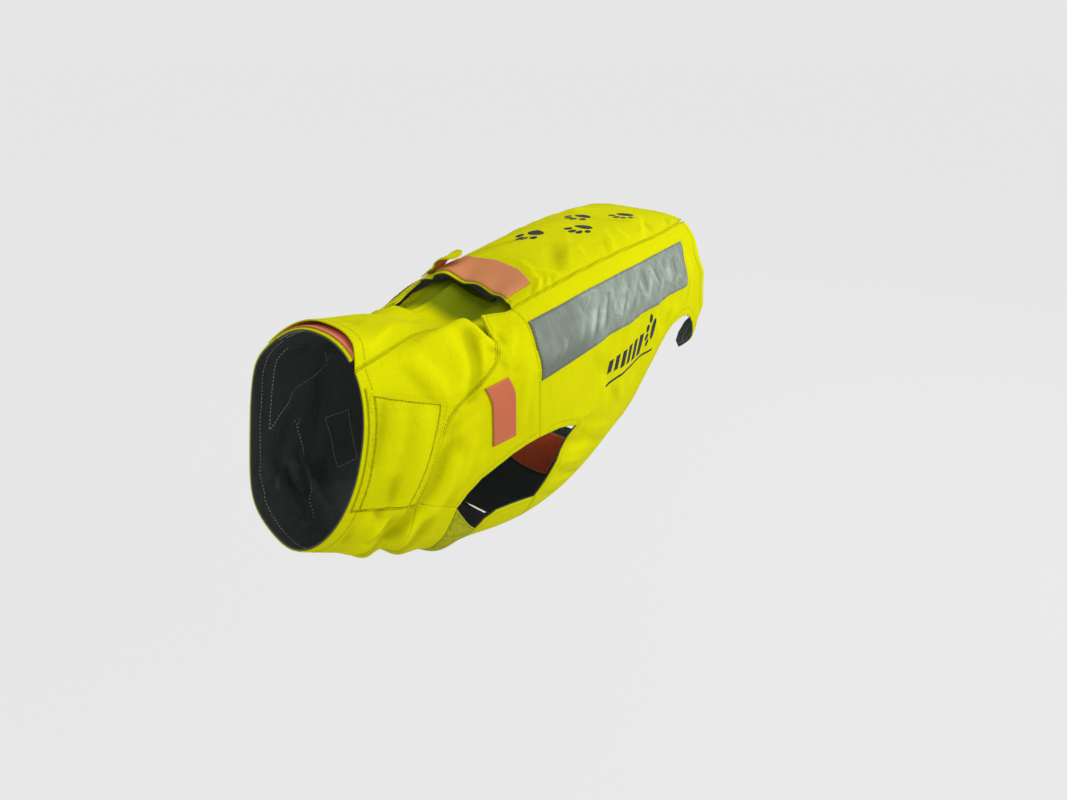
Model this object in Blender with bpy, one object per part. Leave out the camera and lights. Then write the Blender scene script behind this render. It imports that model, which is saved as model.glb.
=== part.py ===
"""A dog's protective vest, filled out as worn: every cut piece is a thin solid.

Frame: the neck points to -Y, the rear hem to +Y, the dog's left is +X and up is
+Z.  The origin is on the midline of the back, just behind the withers.

A point of the garment is given by its station y along the body and by an angle
phi in degrees, 0 on the back and +90 on the dog's left.  Panels are outlines in
(y, phi); each is filled with triangles, laid on the body and given a wall.
"""
import math

import bpy
import bmesh
import numpy as np
from mathutils import Vector
from mathutils.geometry import delaunay_2d_cdt

# ------------------------------------------------------------------ the body
# name, station y, top z, widest z, low z, half width, lean of the section in
# degrees, roundness of the upper half, roundness of the lower half
STATIONS = [
    ("neck_edge", -0.255, 0.006, -0.074, -0.169, 0.067, 22, 2.3, 1.9),
    ("throat", -0.208, -0.006, -0.073, -0.202, 0.078, 18, 2.3, 2.0),
    ("collar", -0.155, -0.012, -0.072, -0.238, 0.090, 12, 2.3, 2.1),
    ("shoulder", -0.100, -0.007, -0.070, -0.270, 0.101, 6, 2.3, 2.2),
    ("withers", -0.055, 0.001, -0.069, -0.290, 0.105, 2, 2.3, 2.3),
    ("back", -0.005, 0.008, -0.069, -0.297, 0.106, 0, 2.3, 2.4),
    ("ribs", 0.050, 0.011, -0.069, -0.292, 0.106, 0, 2.3, 2.4),
    ("barrel", 0.115, 0.012, -0.069, -0.270, 0.106, 0, 2.3, 2.4),
    ("waist", 0.190, 0.008, -0.069, -0.238, 0.106, 0, 2.3, 2.7),
    ("hem", 0.290, 0.001, -0.069, -0.231, 0.106, 0, 2.3, 3.3),
]
BODY = np.array([row[1:] for row in STATIONS], float)
DEG = 0.0022          # metres of cloth to a degree, for spacing the triangles

CLOTH = 0.0013        # outer cloth
LINING = 0.0010
GAP = 0.0003
STEP = 0.0168         # spacing of the triangles

# soft folds: from (y, phi) to (y, phi), half width and height in metres, and
# the side they are on: 1 left, -1 right, 0 both; a positive height stands out
FOLDS = [
    ("collar_ridge", -0.130, 18, -0.134, 46, 0.013, 0.0045, 0),
    ("collar_top_ridge", -0.195, 33, -0.125, 26, 0.014, 0.0095, 1),
    ("collar_ridge_low", -0.136, 46, -0.165, 68, 0.013, 0.0040, 0),
    ("neck_roll_side", -0.214, 60, -0.206, 112, 0.014, 0.0030, 0),
    ("throat_fold_a", -0.226, 118, -0.196, 176, 0.010, 0.0060, 0),
    ("throat_fold_b", -0.200, 122, -0.168, 170, 0.009, 0.0055, 0),
    ("throat_dip", -0.212, 124, -0.182, 172, 0.007, -0.0040, 0),
    ("bib_fold", -0.172, 126, -0.160, 178, 0.009, 0.0025, 0),
    ("gusset_fold", -0.142, 146, -0.126, 182, 0.015, 0.0075, 0),
    ("shoulder_dip", -0.136, 62, -0.122, 96, 0.010, -0.0008, 0),
    ("shoulder_fold", -0.104, 58, -0.100, 100, 0.010, 0.0018, 0),
    ("shoulder_hollow", -0.104, 36, -0.112, 52, 0.012, -0.0020, 0),
    ("leg_gather_a", -0.030, 106, 0.020, 100, 0.007, 0.0030, 0),
    ("leg_gather_b", -0.034, 112, 0.022, 112, 0.008, -0.0035, 0),
    ("leg_gather_c", -0.040, 118, 0.028, 124, 0.008, 0.0035, 0),
    ("tape_flat_front", -0.100, 66, 0.050, 68, 0.024, -0.0036, 0),
    ("tape_flat_rear", 0.050, 68, 0.250, 70, 0.024, -0.0036, 0),
    ("flank_dip_a", 0.010, 100, 0.060, 62, 0.011, -0.0022, 0),
    ("flank_fold_b", 0.066, 60, 0.060, 104, 0.009, 0.0018, 0),
    ("flank_dip_c", 0.096, 58, 0.092, 98, 0.008, -0.0018, 0),
    ("flank_fold_d", 0.128, 60, 0.124, 106, 0.009, 0.0020, 0),
    ("flank_dip_e", 0.156, 58, 0.158, 96, 0.008, -0.0018, 0),
    ("flank_fold_f", 0.186, 60, 0.196, 100, 0.008, 0.0016, 0),
    ("flank_low", 0.070, 112, 0.140, 96, 0.012, -0.0025, 0),
    ("arch_pull", 0.150, 100, 0.205, 88, 0.010, 0.0025, 0),
    ("hem_dip", 0.232, 60, 0.236, 96, 0.010, -0.0020, 0),
    ("back_dip", 0.010, 22, 0.060, 12, 0.012, -0.0022, 0),
    ("back_ridge", 0.165, 14, 0.215, 30, 0.012, 0.0022, 0),
]

# the right side of the top lies lower: station, depth in metres
SAG = [(-0.262, 0.0), (-0.215, 0.005), (-0.160, 0.015), (-0.110, 0.0165), (-0.060, 0.0115),
       (0.010, 0.0125), (0.080, 0.0085), (0.150, 0.0030), (0.200, 0.0)]
# and the right rim of the neck stands out: station, distance
BULGE = [(-0.262, 0.0085), (-0.250, 0.0078), (-0.220, 0.0024), (-0.195, 0.0)]
# and low on the same side the rim is drawn out to a soft corner
LOW_BULGE = [(-0.262, 0.0085), (-0.250, 0.0075), (-0.222, 0.0028), (-0.195, 0.0)]

NECK, REAR = -0.255, 0.262
CORNER, BEND = 0.266, 0.009


def smooth(a, b, x):
    """0 below a, 1 above b, and an even rise between."""
    t = np.clip((np.asarray(x, float) - a) / (b - a), 0, 1)
    return t * t * (3 - 2 * t)


def along(table, x):
    """A value read from a table of (x, value) points, in a soft curve."""
    xs = np.array([row[0] for row in table], float)
    ys = np.array([row[1:] for row in table], float)
    x = np.clip(np.asarray(x, float), xs[0], xs[-1])
    h = np.diff(xs)
    d = np.diff(ys, axis=0) / h[:, None]
    m = np.zeros_like(ys)
    m[0], m[-1] = d[0], d[-1]
    for i in range(1, len(xs) - 1):
        m[i] = (d[i - 1] * h[i] + d[i] * h[i - 1]) / (h[i] + h[i - 1])
    k = np.clip(np.searchsorted(xs, x, side="right") - 1, 0, len(xs) - 2)
    t = ((x - xs[k]) / h[k])[..., None]
    w = h[k][..., None]
    return ((2 * t**3 - 3 * t**2 + 1) * ys[k] + (t**3 - 2 * t**2 + t) * w * m[k]
            + (3 * t**2 - 2 * t**3) * ys[k + 1] + (t**3 - t**2) * w * m[k + 1])


def body(y, phi):
    """The filled-out body before its folds."""
    zt, zw, zl, w, lean, pt, pl = np.moveaxis(along([tuple(r) for r in BODY], y), -1, 0)
    a = np.radians(phi)
    c, s = np.cos(a), np.sin(a)
    up = c >= 0
    p = np.where(up, pt, pl)
    x = w * np.sign(s) * np.abs(s) ** (2 / p)
    v = np.where(up, zt - zw, zw - zl) * np.sign(c) * np.abs(c) ** (2 / p)
    right = np.clip(-np.asarray(phi, float), 0, 180)
    v = v - along(SAG, y)[..., 0] * np.sin(np.radians(2 * np.minimum(right, 90))) ** 2
    x = x - along(BULGE, y)[..., 0] * np.exp(-((right - 66) / 24.0) ** 2)
    drawn = along(LOW_BULGE, y)[..., 0] * np.exp(-((right - 138) / 22.0) ** 2)
    x, v = x - 0.75 * drawn, v - 0.65 * drawn
    lean = np.radians(lean)
    # the lower rear corner of each flank turns in round a tight bend
    arc = np.clip((y - CORNER) / BEND, 0, math.pi / 2)
    past = np.maximum(y - CORNER - BEND * math.pi / 2, 0)
    turn = smooth(97, 107, np.abs(phi))
    x = x - np.sign(x) * turn * (BEND * (1 - np.cos(arc)) + past)
    y = y + turn * (np.minimum(CORNER - y, 0) + BEND * np.sin(arc))
    return np.stack([x, y + v * np.sin(lean), zw + v * np.cos(lean)], -1)


def folds(y, phi):
    """How far the folds stand out."""
    signed = (np.asarray(phi) + 180) % 360 - 180
    f = np.abs(signed)
    left = smooth(-7, 7, signed)
    total = np.zeros(np.broadcast(y, f).shape)
    for _, y0, f0, y1, f1, wide, high, side in FOLDS:
        ax, ay = y0, f0 * DEG
        bx, by = y1 - y0, (f1 - f0) * DEG
        t = np.clip(((y - ax) * bx + (f * DEG - ay) * by) / (bx * bx + by * by), 0, 1)
        d = np.hypot(y - ax - t * bx, f * DEG - ay - t * by)
        share = 1.0 if side == 0 else left if side > 0 else 1 - left
        total = total + share * high * np.exp(-(d / wide) ** 2) * (
            0.35 + 0.65 * np.sin(math.pi * t))
    return total


def trough(y, phi):
    """The hollow on top of the collar, which runs back under the back panel."""
    f = np.abs(phi)
    deep = 0.029 * smooth(-0.192, -0.108, y) * np.exp(-(f / 20.0) ** 2)
    under = np.where(np.asarray(phi) < 0, 0.0088, 0.0080)
    under = under * smooth(-0.130, -0.114, y) * (1 - smooth(40, 48.5, f))
    return -(deep + under)


def back_hem_y(phi):
    """Station of the back panel's front hem at an angle."""
    phi = np.asarray(phi, float)
    return np.where(phi > 0, -0.057 - 0.00066 * phi, -0.057 + 0.0001 * phi)


def turned(y, c):
    """The angle on the body of an angle measured on the cloth.

    The front half sits a little rolled: its underside is drawn to the left."""
    c = (np.asarray(c, float) + 180) % 360 - 180
    roll = 16.0 * (1 - smooth(-0.040, 0.070, y))
    return np.where(c >= 0, c - roll * smooth(142, 180, c), c - roll * smooth(62, 112, -c))


def base(y, c, kind):
    """Station, body angle and lift of the outer face for one kind of panel."""
    y, c = np.broadcast_arrays(np.asarray(y, float), np.asarray(c, float))
    phi = turned(y, c)
    lift = folds(y, phi)
    if kind in ("collar", "flap", "inner_flap"):
        lift = lift + trough(y, c)
    if kind in ("back", "tab"):
        # the front hem sags in soft waves and its far end is held up
        edge = 1 - smooth(0.0, 0.045, y - back_hem_y(c))
        dip = (0.0065 + 0.0095 * (1 - smooth(-0.060, 0.004, y))) * np.exp(-(c / 25.0) ** 2)
        held = smooth(6, 18, -c) * (1 - smooth(25, 30, -c))
        lift = lift - dip * (1 - smooth(27, 37, np.abs(c))) + edge * (
            0.0014 * np.sin(c * 0.30 + 0.8) + 0.0045 * held) * (1 - smooth(26, 30, np.abs(c)))
    if kind == "flap":
        v = collar_v(y)
        over = smooth(0.0, 14.0, v - c)
        lift = lift + over * (
            0.0045 + 0.0015 * (1 - smooth(NECK, NECK + 0.045, y)) + 0.0022 * smooth(-0.150, -0.110, y))
    if kind == "tab":
        # the closing tab rises off the back to its free end
        lift = lift + 0.0020 + 0.0092 * smooth(40, 18, -c)
    return y, phi, lift


def place(y, c, kind, out=0.0):
    """Points moved out from the panel's outer face by `out`."""
    y, phi, lift = base(y, c, kind)
    e, g = 4e-4, 0.25
    sides = []
    for dy, dc in ((e, 0), (-e, 0), (0, g), (0, -g)):
        sides.append(raise_from(*base(y + dy, np.asarray(c) + dc, kind)))
    n = np.cross(sides[2] - sides[3], sides[0] - sides[1])
    n /= np.linalg.norm(n, axis=-1, keepdims=True)
    return raise_from(y, phi, lift) + n * np.asarray(out)[..., None]


def raise_from(y, phi, lift):
    """The body's point moved out along its own normal by `lift`."""
    e, g = 4e-4, 0.25
    n = np.cross(body(y, phi + g) - body(y, phi - g), body(y + e, phi) - body(y - e, phi))
    n /= np.linalg.norm(n, axis=-1, keepdims=True)
    return body(y, phi) + n * lift[..., None]


# ---------------------------------------------------------------- seam lines
# phi of the collar's top seam at a station
V_SEAM = [(-0.257, 41), (-0.202, 25.5), (-0.153, 17), (-0.111, 12.5), (-0.078, 11), (-0.03, 11)]
# phi of the seam between back panel and flank
BACK_SEAM = [(-0.086, 36), (-0.061, 36.8), (-0.024, 39), (0.018, 40), (0.067, 41),
             (0.126, 41.8), (0.186, 41.3), (0.223, 39.5), (0.266, 37)]


def collar_v(y):
    return along(V_SEAM, y)[..., 0]


def back_seam(y):
    return along(BACK_SEAM, y)[..., 0]


def run(points, step=STEP):
    """An open line of (y, phi) points, with points added so no stretch is
    longer than the step."""
    out = []
    for (y0, f0), (y1, f1) in zip(points, points[1:]):
        n = max(1, int(math.ceil(math.hypot(y1 - y0, (f1 - f0) * DEG) / step)))
        out += [(y0 + (y1 - y0) * i / n, f0 + (f1 - f0) * i / n) for i in range(n)]
    return out + [points[-1]]


def ring(points, step=STEP):
    """A closed line through corner points, with points added."""
    return run(list(points) + [points[0]], step)[:-1]


def soft(points, n):
    """A soft line of n points through a few (y, phi) points."""
    t = np.r_[0, np.cumsum([math.hypot(b[0] - a[0], (b[1] - a[1]) * DEG)
                            for a, b in zip(points, points[1:])])]
    rows = [(k, *p) for k, p in zip(t, points)]
    return [tuple(float(c) for c in q) for q in along(rows, np.linspace(0, t[-1], n))]


def mirror(points):
    return [(y, -f) for y, f in points]


# the seam of shoulder and flank, from the back panel down to the leg hole
FRONT_SEAM = soft([(-0.083, 36.0), (-0.083, 49), (-0.088, 67), (-0.090, 90), (-0.082, 104.5)], 11)
# the seam of collar and shoulder, from its top corner down to the leg hole
COLLAR_SEAM = soft([(-0.121, 50), (-0.129, 61), (-0.150, 71), (-0.179, 82.5), (-0.187, 93),
                    (-0.191, 105), (-0.194, 118)], 13)
COLLAR_LOW = soft([(-0.194, 118), (-0.192, 135), (-0.190, 158), (-0.189, 180)], 8)
# the leg hole, from the seam forward along its upper edge, then down and back
LEG_TOP = soft([(-0.082, 104.5), (-0.105, 105.8), (-0.124, 109), (-0.142, 113.5),
                (-0.150, 118.5), (-0.154, 124)], 7)
LEG_REAR_L = [(-0.054, 124), (-0.044, 113), (-0.034, 109)] + soft(
    [(-0.025, 106.5), (-0.050, 104.6), (-0.082, 104.5)], 5)[:-1]
LEG_REAR_R = [(-0.057, 127), (-0.054, 114)] + soft(
    [(-0.046, 107.5), (-0.060, 105), (-0.082, 104.5)], 4)[:-1]
LEG_LOW = soft([(-0.117, 143), (-0.113, 133), (-0.088, 130.5), (-0.062, 131.5)], 6)
REAR_HEM = soft([(REAR, 38), (0.256, 50), (0.250, 62), (0.248, 76), (0.257, 88), (0.273, 96),
                 (0.287, 104), (0.294, 113), (0.292, 121), (0.284, 125)], 16)
ARCH = soft([(0.284, 125), (0.272, 117), (0.261, 109), (0.249, 103.5), (0.230, 99.5),
             (0.206, 98.5), (0.182, 99), (0.164, 101.5), (0.148, 108), (0.133, 114.5),
             (0.123, 126), (0.118, 144), (0.116, 166), (0.116, 182), (0.116, 194)], 27)

# what each piece is made of: the first words of its name, then the material
COVERS = [
    ("back_loop", "loop_strip"), ("tab_hook", "hook_strip"), ("belly_hook", "hook_strip"),
    ("shoulder_hook", "hook_strip"), ("collar_hook", "hook_strip"), ("collar_loop", "loop_strip"),
    ("reflective", "reflective_tape"), ("chest_gusset", "gusset_cloth"),
]
# name, colour, roughness, metallic
MATERIALS = [
    ("vest_cloth", (0.640, 0.660, 0.006), 0.85, 0.0),
    ("lining", (0.018, 0.020, 0.019), 0.80, 0.0),
    ("gusset_cloth", (0.250, 0.270, 0.030), 0.85, 0.0),
    ("reflective_tape", (0.330, 0.380, 0.330), 0.45, 0.4),
    ("hook_strip", (0.560, 0.140, 0.060), 0.80, 0.0),
    ("loop_strip", (0.640, 0.240, 0.090), 0.95, 0.0),
]

made = []


def cover_of(name):
    """The material's name for a piece."""
    if "lining" in name:
        return "lining"
    return next((m for start, m in COVERS if name.startswith(start)), "vest_cloth")


def material(name):
    """A plain surface with the piece's colour."""
    mat = bpy.data.materials.get(name)
    if mat is None:
        _, colour, rough, metal = next(row for row in MATERIALS if row[0] == name)
        mat = bpy.data.materials.new(name)
        mat.use_nodes = True
        surface = mat.node_tree.nodes["Principled BSDF"]
        surface.inputs["Base Color"].default_value = (*colour, 1.0)
        surface.inputs["Roughness"].default_value = rough
        surface.inputs["Metallic"].default_value = metal
    return mat


def inside(poly, pts):
    """Which points lie inside a closed polygon."""
    x, y = pts[:, 0], pts[:, 1]
    hit = np.zeros(len(pts), bool)
    j = len(poly) - 1
    for i in range(len(poly)):
        xi, yi = poly[i]
        xj, yj = poly[j]
        cross = ((yi > y) != (yj > y))
        with np.errstate(divide="ignore", invalid="ignore"):
            hit ^= cross & (x < (xj - xi) * (y - yi) / (yj - yi) + xi)
        j = i
    return hit


def near(poly, pts):
    """Distance from each point to a closed polygon."""
    best = np.full(len(pts), 1e9)
    for a, b in zip(poly, np.roll(poly, -1, axis=0)):
        d = b - a
        t = np.clip(((pts - a) @ d) / max(float(d @ d), 1e-18), 0, 1)
        best = np.minimum(best, np.linalg.norm(pts - a - t[:, None] * d, axis=1))
    return best


def shrink(poly, by):
    """A closed polygon with every edge moved in by the same amount."""
    poly = np.asarray(poly, float)
    area = 0.5 * np.sum(poly[:, 0] * np.roll(poly[:, 1], -1) - np.roll(poly[:, 0], -1) * poly[:, 1])
    sign = 1.0 if area > 0 else -1.0
    out = []
    for i in range(len(poly)):
        a, b, c = poly[i - 1], poly[i], poly[(i + 1) % len(poly)]
        d0 = (b - a) / np.linalg.norm(b - a)
        d1 = (c - b) / np.linalg.norm(c - b)
        n0 = sign * np.array([-d0[1], d0[0]])
        n1 = sign * np.array([-d1[1], d1[0]])
        m = n0 + n1
        m = m / max(float(m @ m), 0.35) * 2
        out.append(b + m * by)
    return np.array(out)


def fill(outline, loops, step):
    """Triangles that fill an outline, with inner loops kept as edges."""
    flat = shrink(np.array([(y, f * DEG) for y, f in outline]), GAP / 2)
    rings = [flat] + [np.array([(y, f * DEG) for y, f in loop]) for loop in loops]
    lo, hi = flat.min(0), flat.max(0)
    rows = []
    dy = step * math.sqrt(3) / 2
    k = 0
    v = lo[1] + dy * 0.5
    while v < hi[1]:
        u = lo[0] + (step / 2 if k % 2 else 0.0)
        while u < hi[0]:
            rows.append((u, v))
            u += step
        v += dy
        k += 1
    grid = np.array(rows) if rows else np.zeros((0, 2))
    if len(grid):
        keep = inside(flat, grid)
        for ring in rings:
            keep &= near(ring, grid) > step * 0.48
        grid = grid[keep]
    verts, edges = [], []
    for ring in rings:
        start = len(verts)
        verts += [tuple(p) for p in ring]
        edges += [(start + i, start + (i + 1) % len(ring)) for i in range(len(ring))]
    verts += [tuple(p) for p in grid]
    res = delaunay_2d_cdt([Vector(v) for v in verts], edges, [], 0, 1e-7)
    pts = np.array([tuple(v) for v in res[0]])
    tris = np.array([f for f in res[2] if len(f) == 3])
    mid = pts[tris].mean(1)
    tris = tris[inside(flat, mid)]
    a, b, c = pts[tris[:, 0]], pts[tris[:, 1]], pts[tris[:, 2]]
    area = (b[:, 0] - a[:, 0]) * (c[:, 1] - a[:, 1]) - (c[:, 0] - a[:, 0]) * (b[:, 1] - a[:, 1])
    tris = np.where((area < 0)[:, None], tris[:, ::-1], tris)
    return pts, tris, rings[1:]


def solid(name, pts, tris, kind, high, low, flip=False, shift=None):
    """A closed wall between two heights over the same triangles."""
    used = np.unique(tris)
    index = {int(v): i for i, v in enumerate(used)}
    y, f = pts[used, 0], pts[used, 1] / DEG
    extra = shift(y, f) if shift else np.zeros(len(used))
    f = -f if flip else f
    top = place(y, f, kind, extra + high)
    bottom = place(y, f, kind, extra + low)
    # two sheets of the same triangles, then a strip round their edges
    bm = bmesh.new()
    upper = [bm.verts.new(v) for v in top]
    lower = [bm.verts.new(v) for v in bottom]
    for t in tris:
        a, b, c = (index[int(v)] for v in t)
        bm.faces.new((upper[a], upper[c], upper[b]))
        bm.faces.new((lower[a], lower[b], lower[c]))
    twin = dict(zip(upper, lower))
    rim = [e for e in bm.edges if e.is_boundary and e.verts[0] in twin and e.verts[1] in twin]
    for e in rim:
        p, q = e.verts
        bm.faces.new((p, q, twin[q]))
        bm.faces.new((p, twin[q], twin[p]))
    bmesh.ops.recalc_face_normals(bm, faces=bm.faces)
    if bm.calc_volume(signed=True) < 0:
        bmesh.ops.reverse_faces(bm, faces=bm.faces)
    mesh = bpy.data.meshes.new(name)
    bm.to_mesh(mesh)
    bm.free()
    mesh.materials.append(material(cover_of(name)))
    mesh.shade_smooth()
    mesh.set_sharp_from_angle(angle=math.radians(50))
    obj = bpy.data.objects.new(name, mesh)
    obj.parent = vest
    bpy.context.scene.collection.objects.link(obj)
    made.append((name, len(mesh.polygons)))
    return obj


def panel(name, outline, kind="body", lining=None, patches=(), step=STEP, both=False,
          shift=None, names=None):
    """One cut piece, its lining and what is sewn on it.

    patches: (name, loop, height of its underside, thickness)."""
    pts, tris, rings = fill(outline, [p[1] for p in patches], step)
    sides = [("", False)] if not both else [("_left", False), ("_right", True)]
    for tail, flip in sides:
        solid(name + tail, pts, tris, kind, 0.0, -CLOTH, flip, shift)
        if lining:
            solid(lining + tail, pts, tris, kind, -CLOTH - GAP, -CLOTH - GAP - LINING, flip, shift)
        for (pname, _, high, thick), ring in zip(patches, rings):
            keep = tris[inside(ring, pts[tris].mean(1))]
            solid(pname + tail, pts, keep, kind, high + thick, high, flip, shift)


for old in list(bpy.data.objects):
    bpy.data.objects.remove(old, do_unlink=True)
vest = bpy.data.objects.new("vest", None)
bpy.context.scene.collection.objects.link(vest)

# ------------------------------------------------------------- the back panel
side_l = [(y, float(back_seam(y))) for y in np.linspace(-0.083, 0.246, 21)]
side_l += [(0.255, 36.3), (REAR, 35.5)]
side_r = [(y, -f) for y, f in side_l if y > -0.052]
side_r = [(float(back_hem_y(-36)), -float(back_seam(-0.058)))] + side_r
hem = [(float(back_hem_y(f)), f) for f in np.linspace(-36, 36, 15)]
outline = hem[1:-1] + side_l + [(REAR, f) for f in (24, 12, 0, -12, -24)] + side_r[::-1]
LOOP = ring([(-0.0535, -29), (-0.0545, -14), (-0.0550, 0), (-0.0615, 10), (-0.0690, 20),
             (-0.0730, 27), (-0.038, 28), (-0.024, 14), (-0.018, 0), (-0.019, -14),
             (-0.020, -29)], 0.02)
panel("back_panel", outline, "back", lining="back_lining",
      patches=[("back_loop_patch", LOOP, GAP, 0.0012)])

# ------------------------------------------------------------------ the flanks
def under_lap(y, f):
    """The right flank's closing edge lies inside the left one."""
    return -0.0042 * smooth(148, 161, f)


flank_top = [(y, float(back_seam(y))) for y in np.linspace(-0.083, 0.246, 21)] + [(REAR, 38.0)]
flank_front = FRONT_SEAM[::-1]                       # from the leg hole up
TAPE = ring([(-0.0800, 49), (-0.030, 52), (0.036, 54), (0.113, 55.3), (0.213, 54), (0.206, 72),
             (0.204, 89.4), (0.110, 89.5), (0.029, 89.3), (-0.039, 89.3), (-0.0870, 89.8),
             (-0.0850, 67)])


def flank_outline(end, low, rear):
    """The flank: round from its top seam by the rear hem, arch and belly."""
    front = [(-0.055, 180), (-0.055, 164), (-0.057, 148), (-0.062, low)] + rear
    return (flank_top[:-1] + REAR_HEM[:-1] + [p for p in ARCH if p[1] < end - 6]
            + run([(0.116, end), (-0.055, end)], 0.024)[:-1] + [(-0.055, end)] + front
            + FRONT_SEAM[::-1][:-1])


CLOSE_IN = ring([(0.036, 158), (0.100, 158), (0.100, 188), (0.036, 188)], 0.02)
for tail, flip, low, rear, lap in (("_left", False, 131.5, LEG_REAR_L, None),
                                   ("_right", True, 139.0, LEG_REAR_R, under_lap)):
    pts, tris, rings = fill(flank_outline(194, low, rear), [TAPE, CLOSE_IN], STEP)
    solid("flank" + tail, pts, tris, "body", 0.0, -CLOTH, flip, lap)
    solid("flank_lining" + tail, pts, tris, "body", -CLOTH - GAP, -CLOTH - GAP - LINING, flip, lap)
    solid("reflective_tape" + tail, pts, tris[inside(rings[0], pts[tris].mean(1))], "body",
          GAP + 0.0008, GAP, flip, lap)
    if flip:
        solid("belly_hook_patch", pts, tris[inside(rings[1], pts[tris].mean(1))], "body",
              -CLOTH - 2 * GAP - LINING, -CLOTH - 2 * GAP - LINING - 0.0012, flip, lap)

# --------------------------------------------------------------- the shoulders
top_hem = [(-0.090, 35.0), (-0.100, 31.5), (-0.111, 29)]
corner = [(-0.1150, 34), (-0.1195, 42)]
HOOK = ring([(-0.149, 76), (-0.124, 76), (-0.113, 100.5), (-0.136, 101.6)])
# the right leg hole starts a little further back
LEG_TOP_R = soft([(-0.082, 104.5), (-0.098, 105.8), (-0.110, 109), (-0.122, 113.5),
                  (-0.128, 118.5), (-0.131, 124)], 7)
for tail, flip, leg, mid in (("_left", False, LEG_TOP, -0.174), ("_right", True, LEG_TOP_R, -0.162)):
    outline = (top_hem + corner + COLLAR_SEAM[:-1] + [(-0.194, 118), (mid, 121)] + leg[::-1][:-1]
               + FRONT_SEAM[::-1])
    pts, tris, rings = fill(outline, [HOOK], STEP)
    solid("shoulder" + tail, pts, tris, "body", 0.0, -CLOTH, flip)
    solid("shoulder_lining" + tail, pts, tris, "body", -CLOTH - GAP, -CLOTH - GAP - LINING, flip)
    solid("shoulder_hook_patch" + tail, pts, tris[inside(rings[0], pts[tris].mean(1))], "body",
          GAP + 0.0012, GAP, flip)

# ------------------------------------------------------------------ the collar
v_line = [(float(y), float(collar_v(y))) for y in np.linspace(NECK, -0.040, 17)]
neck_line = [(NECK, f) for f in np.linspace(41, 180, 14)]
neck_line[0] = (NECK, float(collar_v(NECK)))
POCKET = ring([(-0.2515, 52), (-0.184, 73), (-0.190, 93), (-0.1975, 118), (-0.2515, 115), (-0.2515, 84)])
collar = (v_line + [(-0.040, 20), (-0.042, 29), (-0.060, 34), (-0.088, 36.5), (-0.106, 36.5),
                    (-0.1207, 42)]
          + COLLAR_SEAM[:-1] + COLLAR_LOW + neck_line[::-1][:-1])
POCKET_R = ring([(-0.2225, 60), (-0.184, 73), (-0.190, 93), (-0.1975, 118), (-0.2225, 116.5),
                 (-0.2225, 88)])
RIM_LOOP = ring([(-0.2505, 62), (-0.2270, 62), (-0.2270, 90), (-0.2505, 90)])
for tail, flip, sewn in (
        ("_left", False, [("pocket_left", POCKET, 0.0012)]),
        ("_right", True, [("pocket_right", POCKET_R, 0.0012), ("collar_loop_patch", RIM_LOOP, 0.0012)])):
    pts, tris, rings = fill(collar, [row[1] for row in sewn], STEP)
    solid("collar_side" + tail, pts, tris, "collar", 0.0, -CLOTH, flip)
    solid("collar_lining" + tail, pts, tris, "collar", -CLOTH - GAP, -CLOTH - GAP - LINING, flip)
    for (pname, _, thick), loop in zip(sewn, rings):
        solid(pname, pts, tris[inside(loop, pts[tris].mean(1))], "collar", GAP + thick, GAP, flip)

# the two flaps that close the collar on top: the left one lies over the right
inner = ([(y, -f) for y, f in v_line]
         + [(-0.040, 0.0)]
         + [(float(y), float(collar_v(y)) - 7.0) for y in np.linspace(-0.040, NECK, 17)]
         + [(NECK, f) for f in (26, 18, 9, 0, -9, -18, -27, -34)])
BAND = ring([(NECK + 0.0035, 32), (-0.226, 24), (-0.226, -32), (NECK + 0.0035, -38)])
panel("collar_flap_inner", inner, "inner_flap", lining="collar_flap_inner_lining", step=0.0125,
      patches=[("collar_hook_band", BAND, GAP, 0.0011)])
lip = NECK + 0.0105
outer = ([(NECK, float(collar_v(NECK)))]
         + v_line[1:-1] + [(v_line[-2][0], 0.0)]
         + [(float(y), -float(collar_v(y)) - 6.0 - 12.0 * float(1 - smooth(NECK, -0.15, y)))
            for y in np.linspace(v_line[-2][0], lip, 16)]
         + [(lip, f) for f in (-50, -40, -30, -20, -10, 0, 8)]
         + [(NECK + 0.0098, 15), (NECK + 0.0078, 22), (NECK + 0.0052, 29), (NECK + 0.0024, 36)])
panel("collar_flap_outer", outer, "flap", step=0.0125)

# -------------------------------------------------------- chest and belly parts
def ring_of(left):
    """A closed outline from its left half, lying across the underside."""
    return left + [(y, 360 - f) for y, f in left[::-1]]


bib_l = COLLAR_LOW[::-1][1:] + [(-0.174, 121), (-0.154, 124), (-0.150, 140), (-0.149, 160)]
bib_r = COLLAR_LOW[::-1][1:] + [(-0.162, 121), (-0.131, 124), (-0.137, 140), (-0.146, 160)]
bib = bib_l + [(-0.149, 180)] + [(y, 360 - f) for y, f in bib_r[::-1]] + [(-0.189, 180)]
panel("bib", bib, "body", lining="bib_lining")
gus_l = [(-0.149, 160), (-0.150, 140), (-0.154, 124), (-0.141, 131), (-0.128, 138),
         (-0.117, 143), (-0.117, 160)]
gus_r = [(-0.146, 160), (-0.137, 140), (-0.131, 124), (-0.127, 131), (-0.122, 138),
         (-0.117, 145), (-0.117, 160)]
gusset = [(-0.149, 180)] + gus_l + [(-0.117, 180)] + [(y, 360 - f) for y, f in gus_r[::-1]]
panel("chest_gusset", gusset, "body")
LEG_LOW_R = soft([(-0.117, 145), (-0.112, 141), (-0.088, 140), (-0.062, 139)], 6)
bel_l = [(-0.117, 160)] + LEG_LOW + [(-0.057, 148), (-0.055, 164)]
bel_r = [(-0.117, 160)] + LEG_LOW_R + [(-0.057, 148), (-0.055, 164)]
belly = [(-0.117, 180)] + bel_l + [(-0.055, 180)] + [(y, 360 - f) for y, f in bel_r[::-1]]
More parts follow.
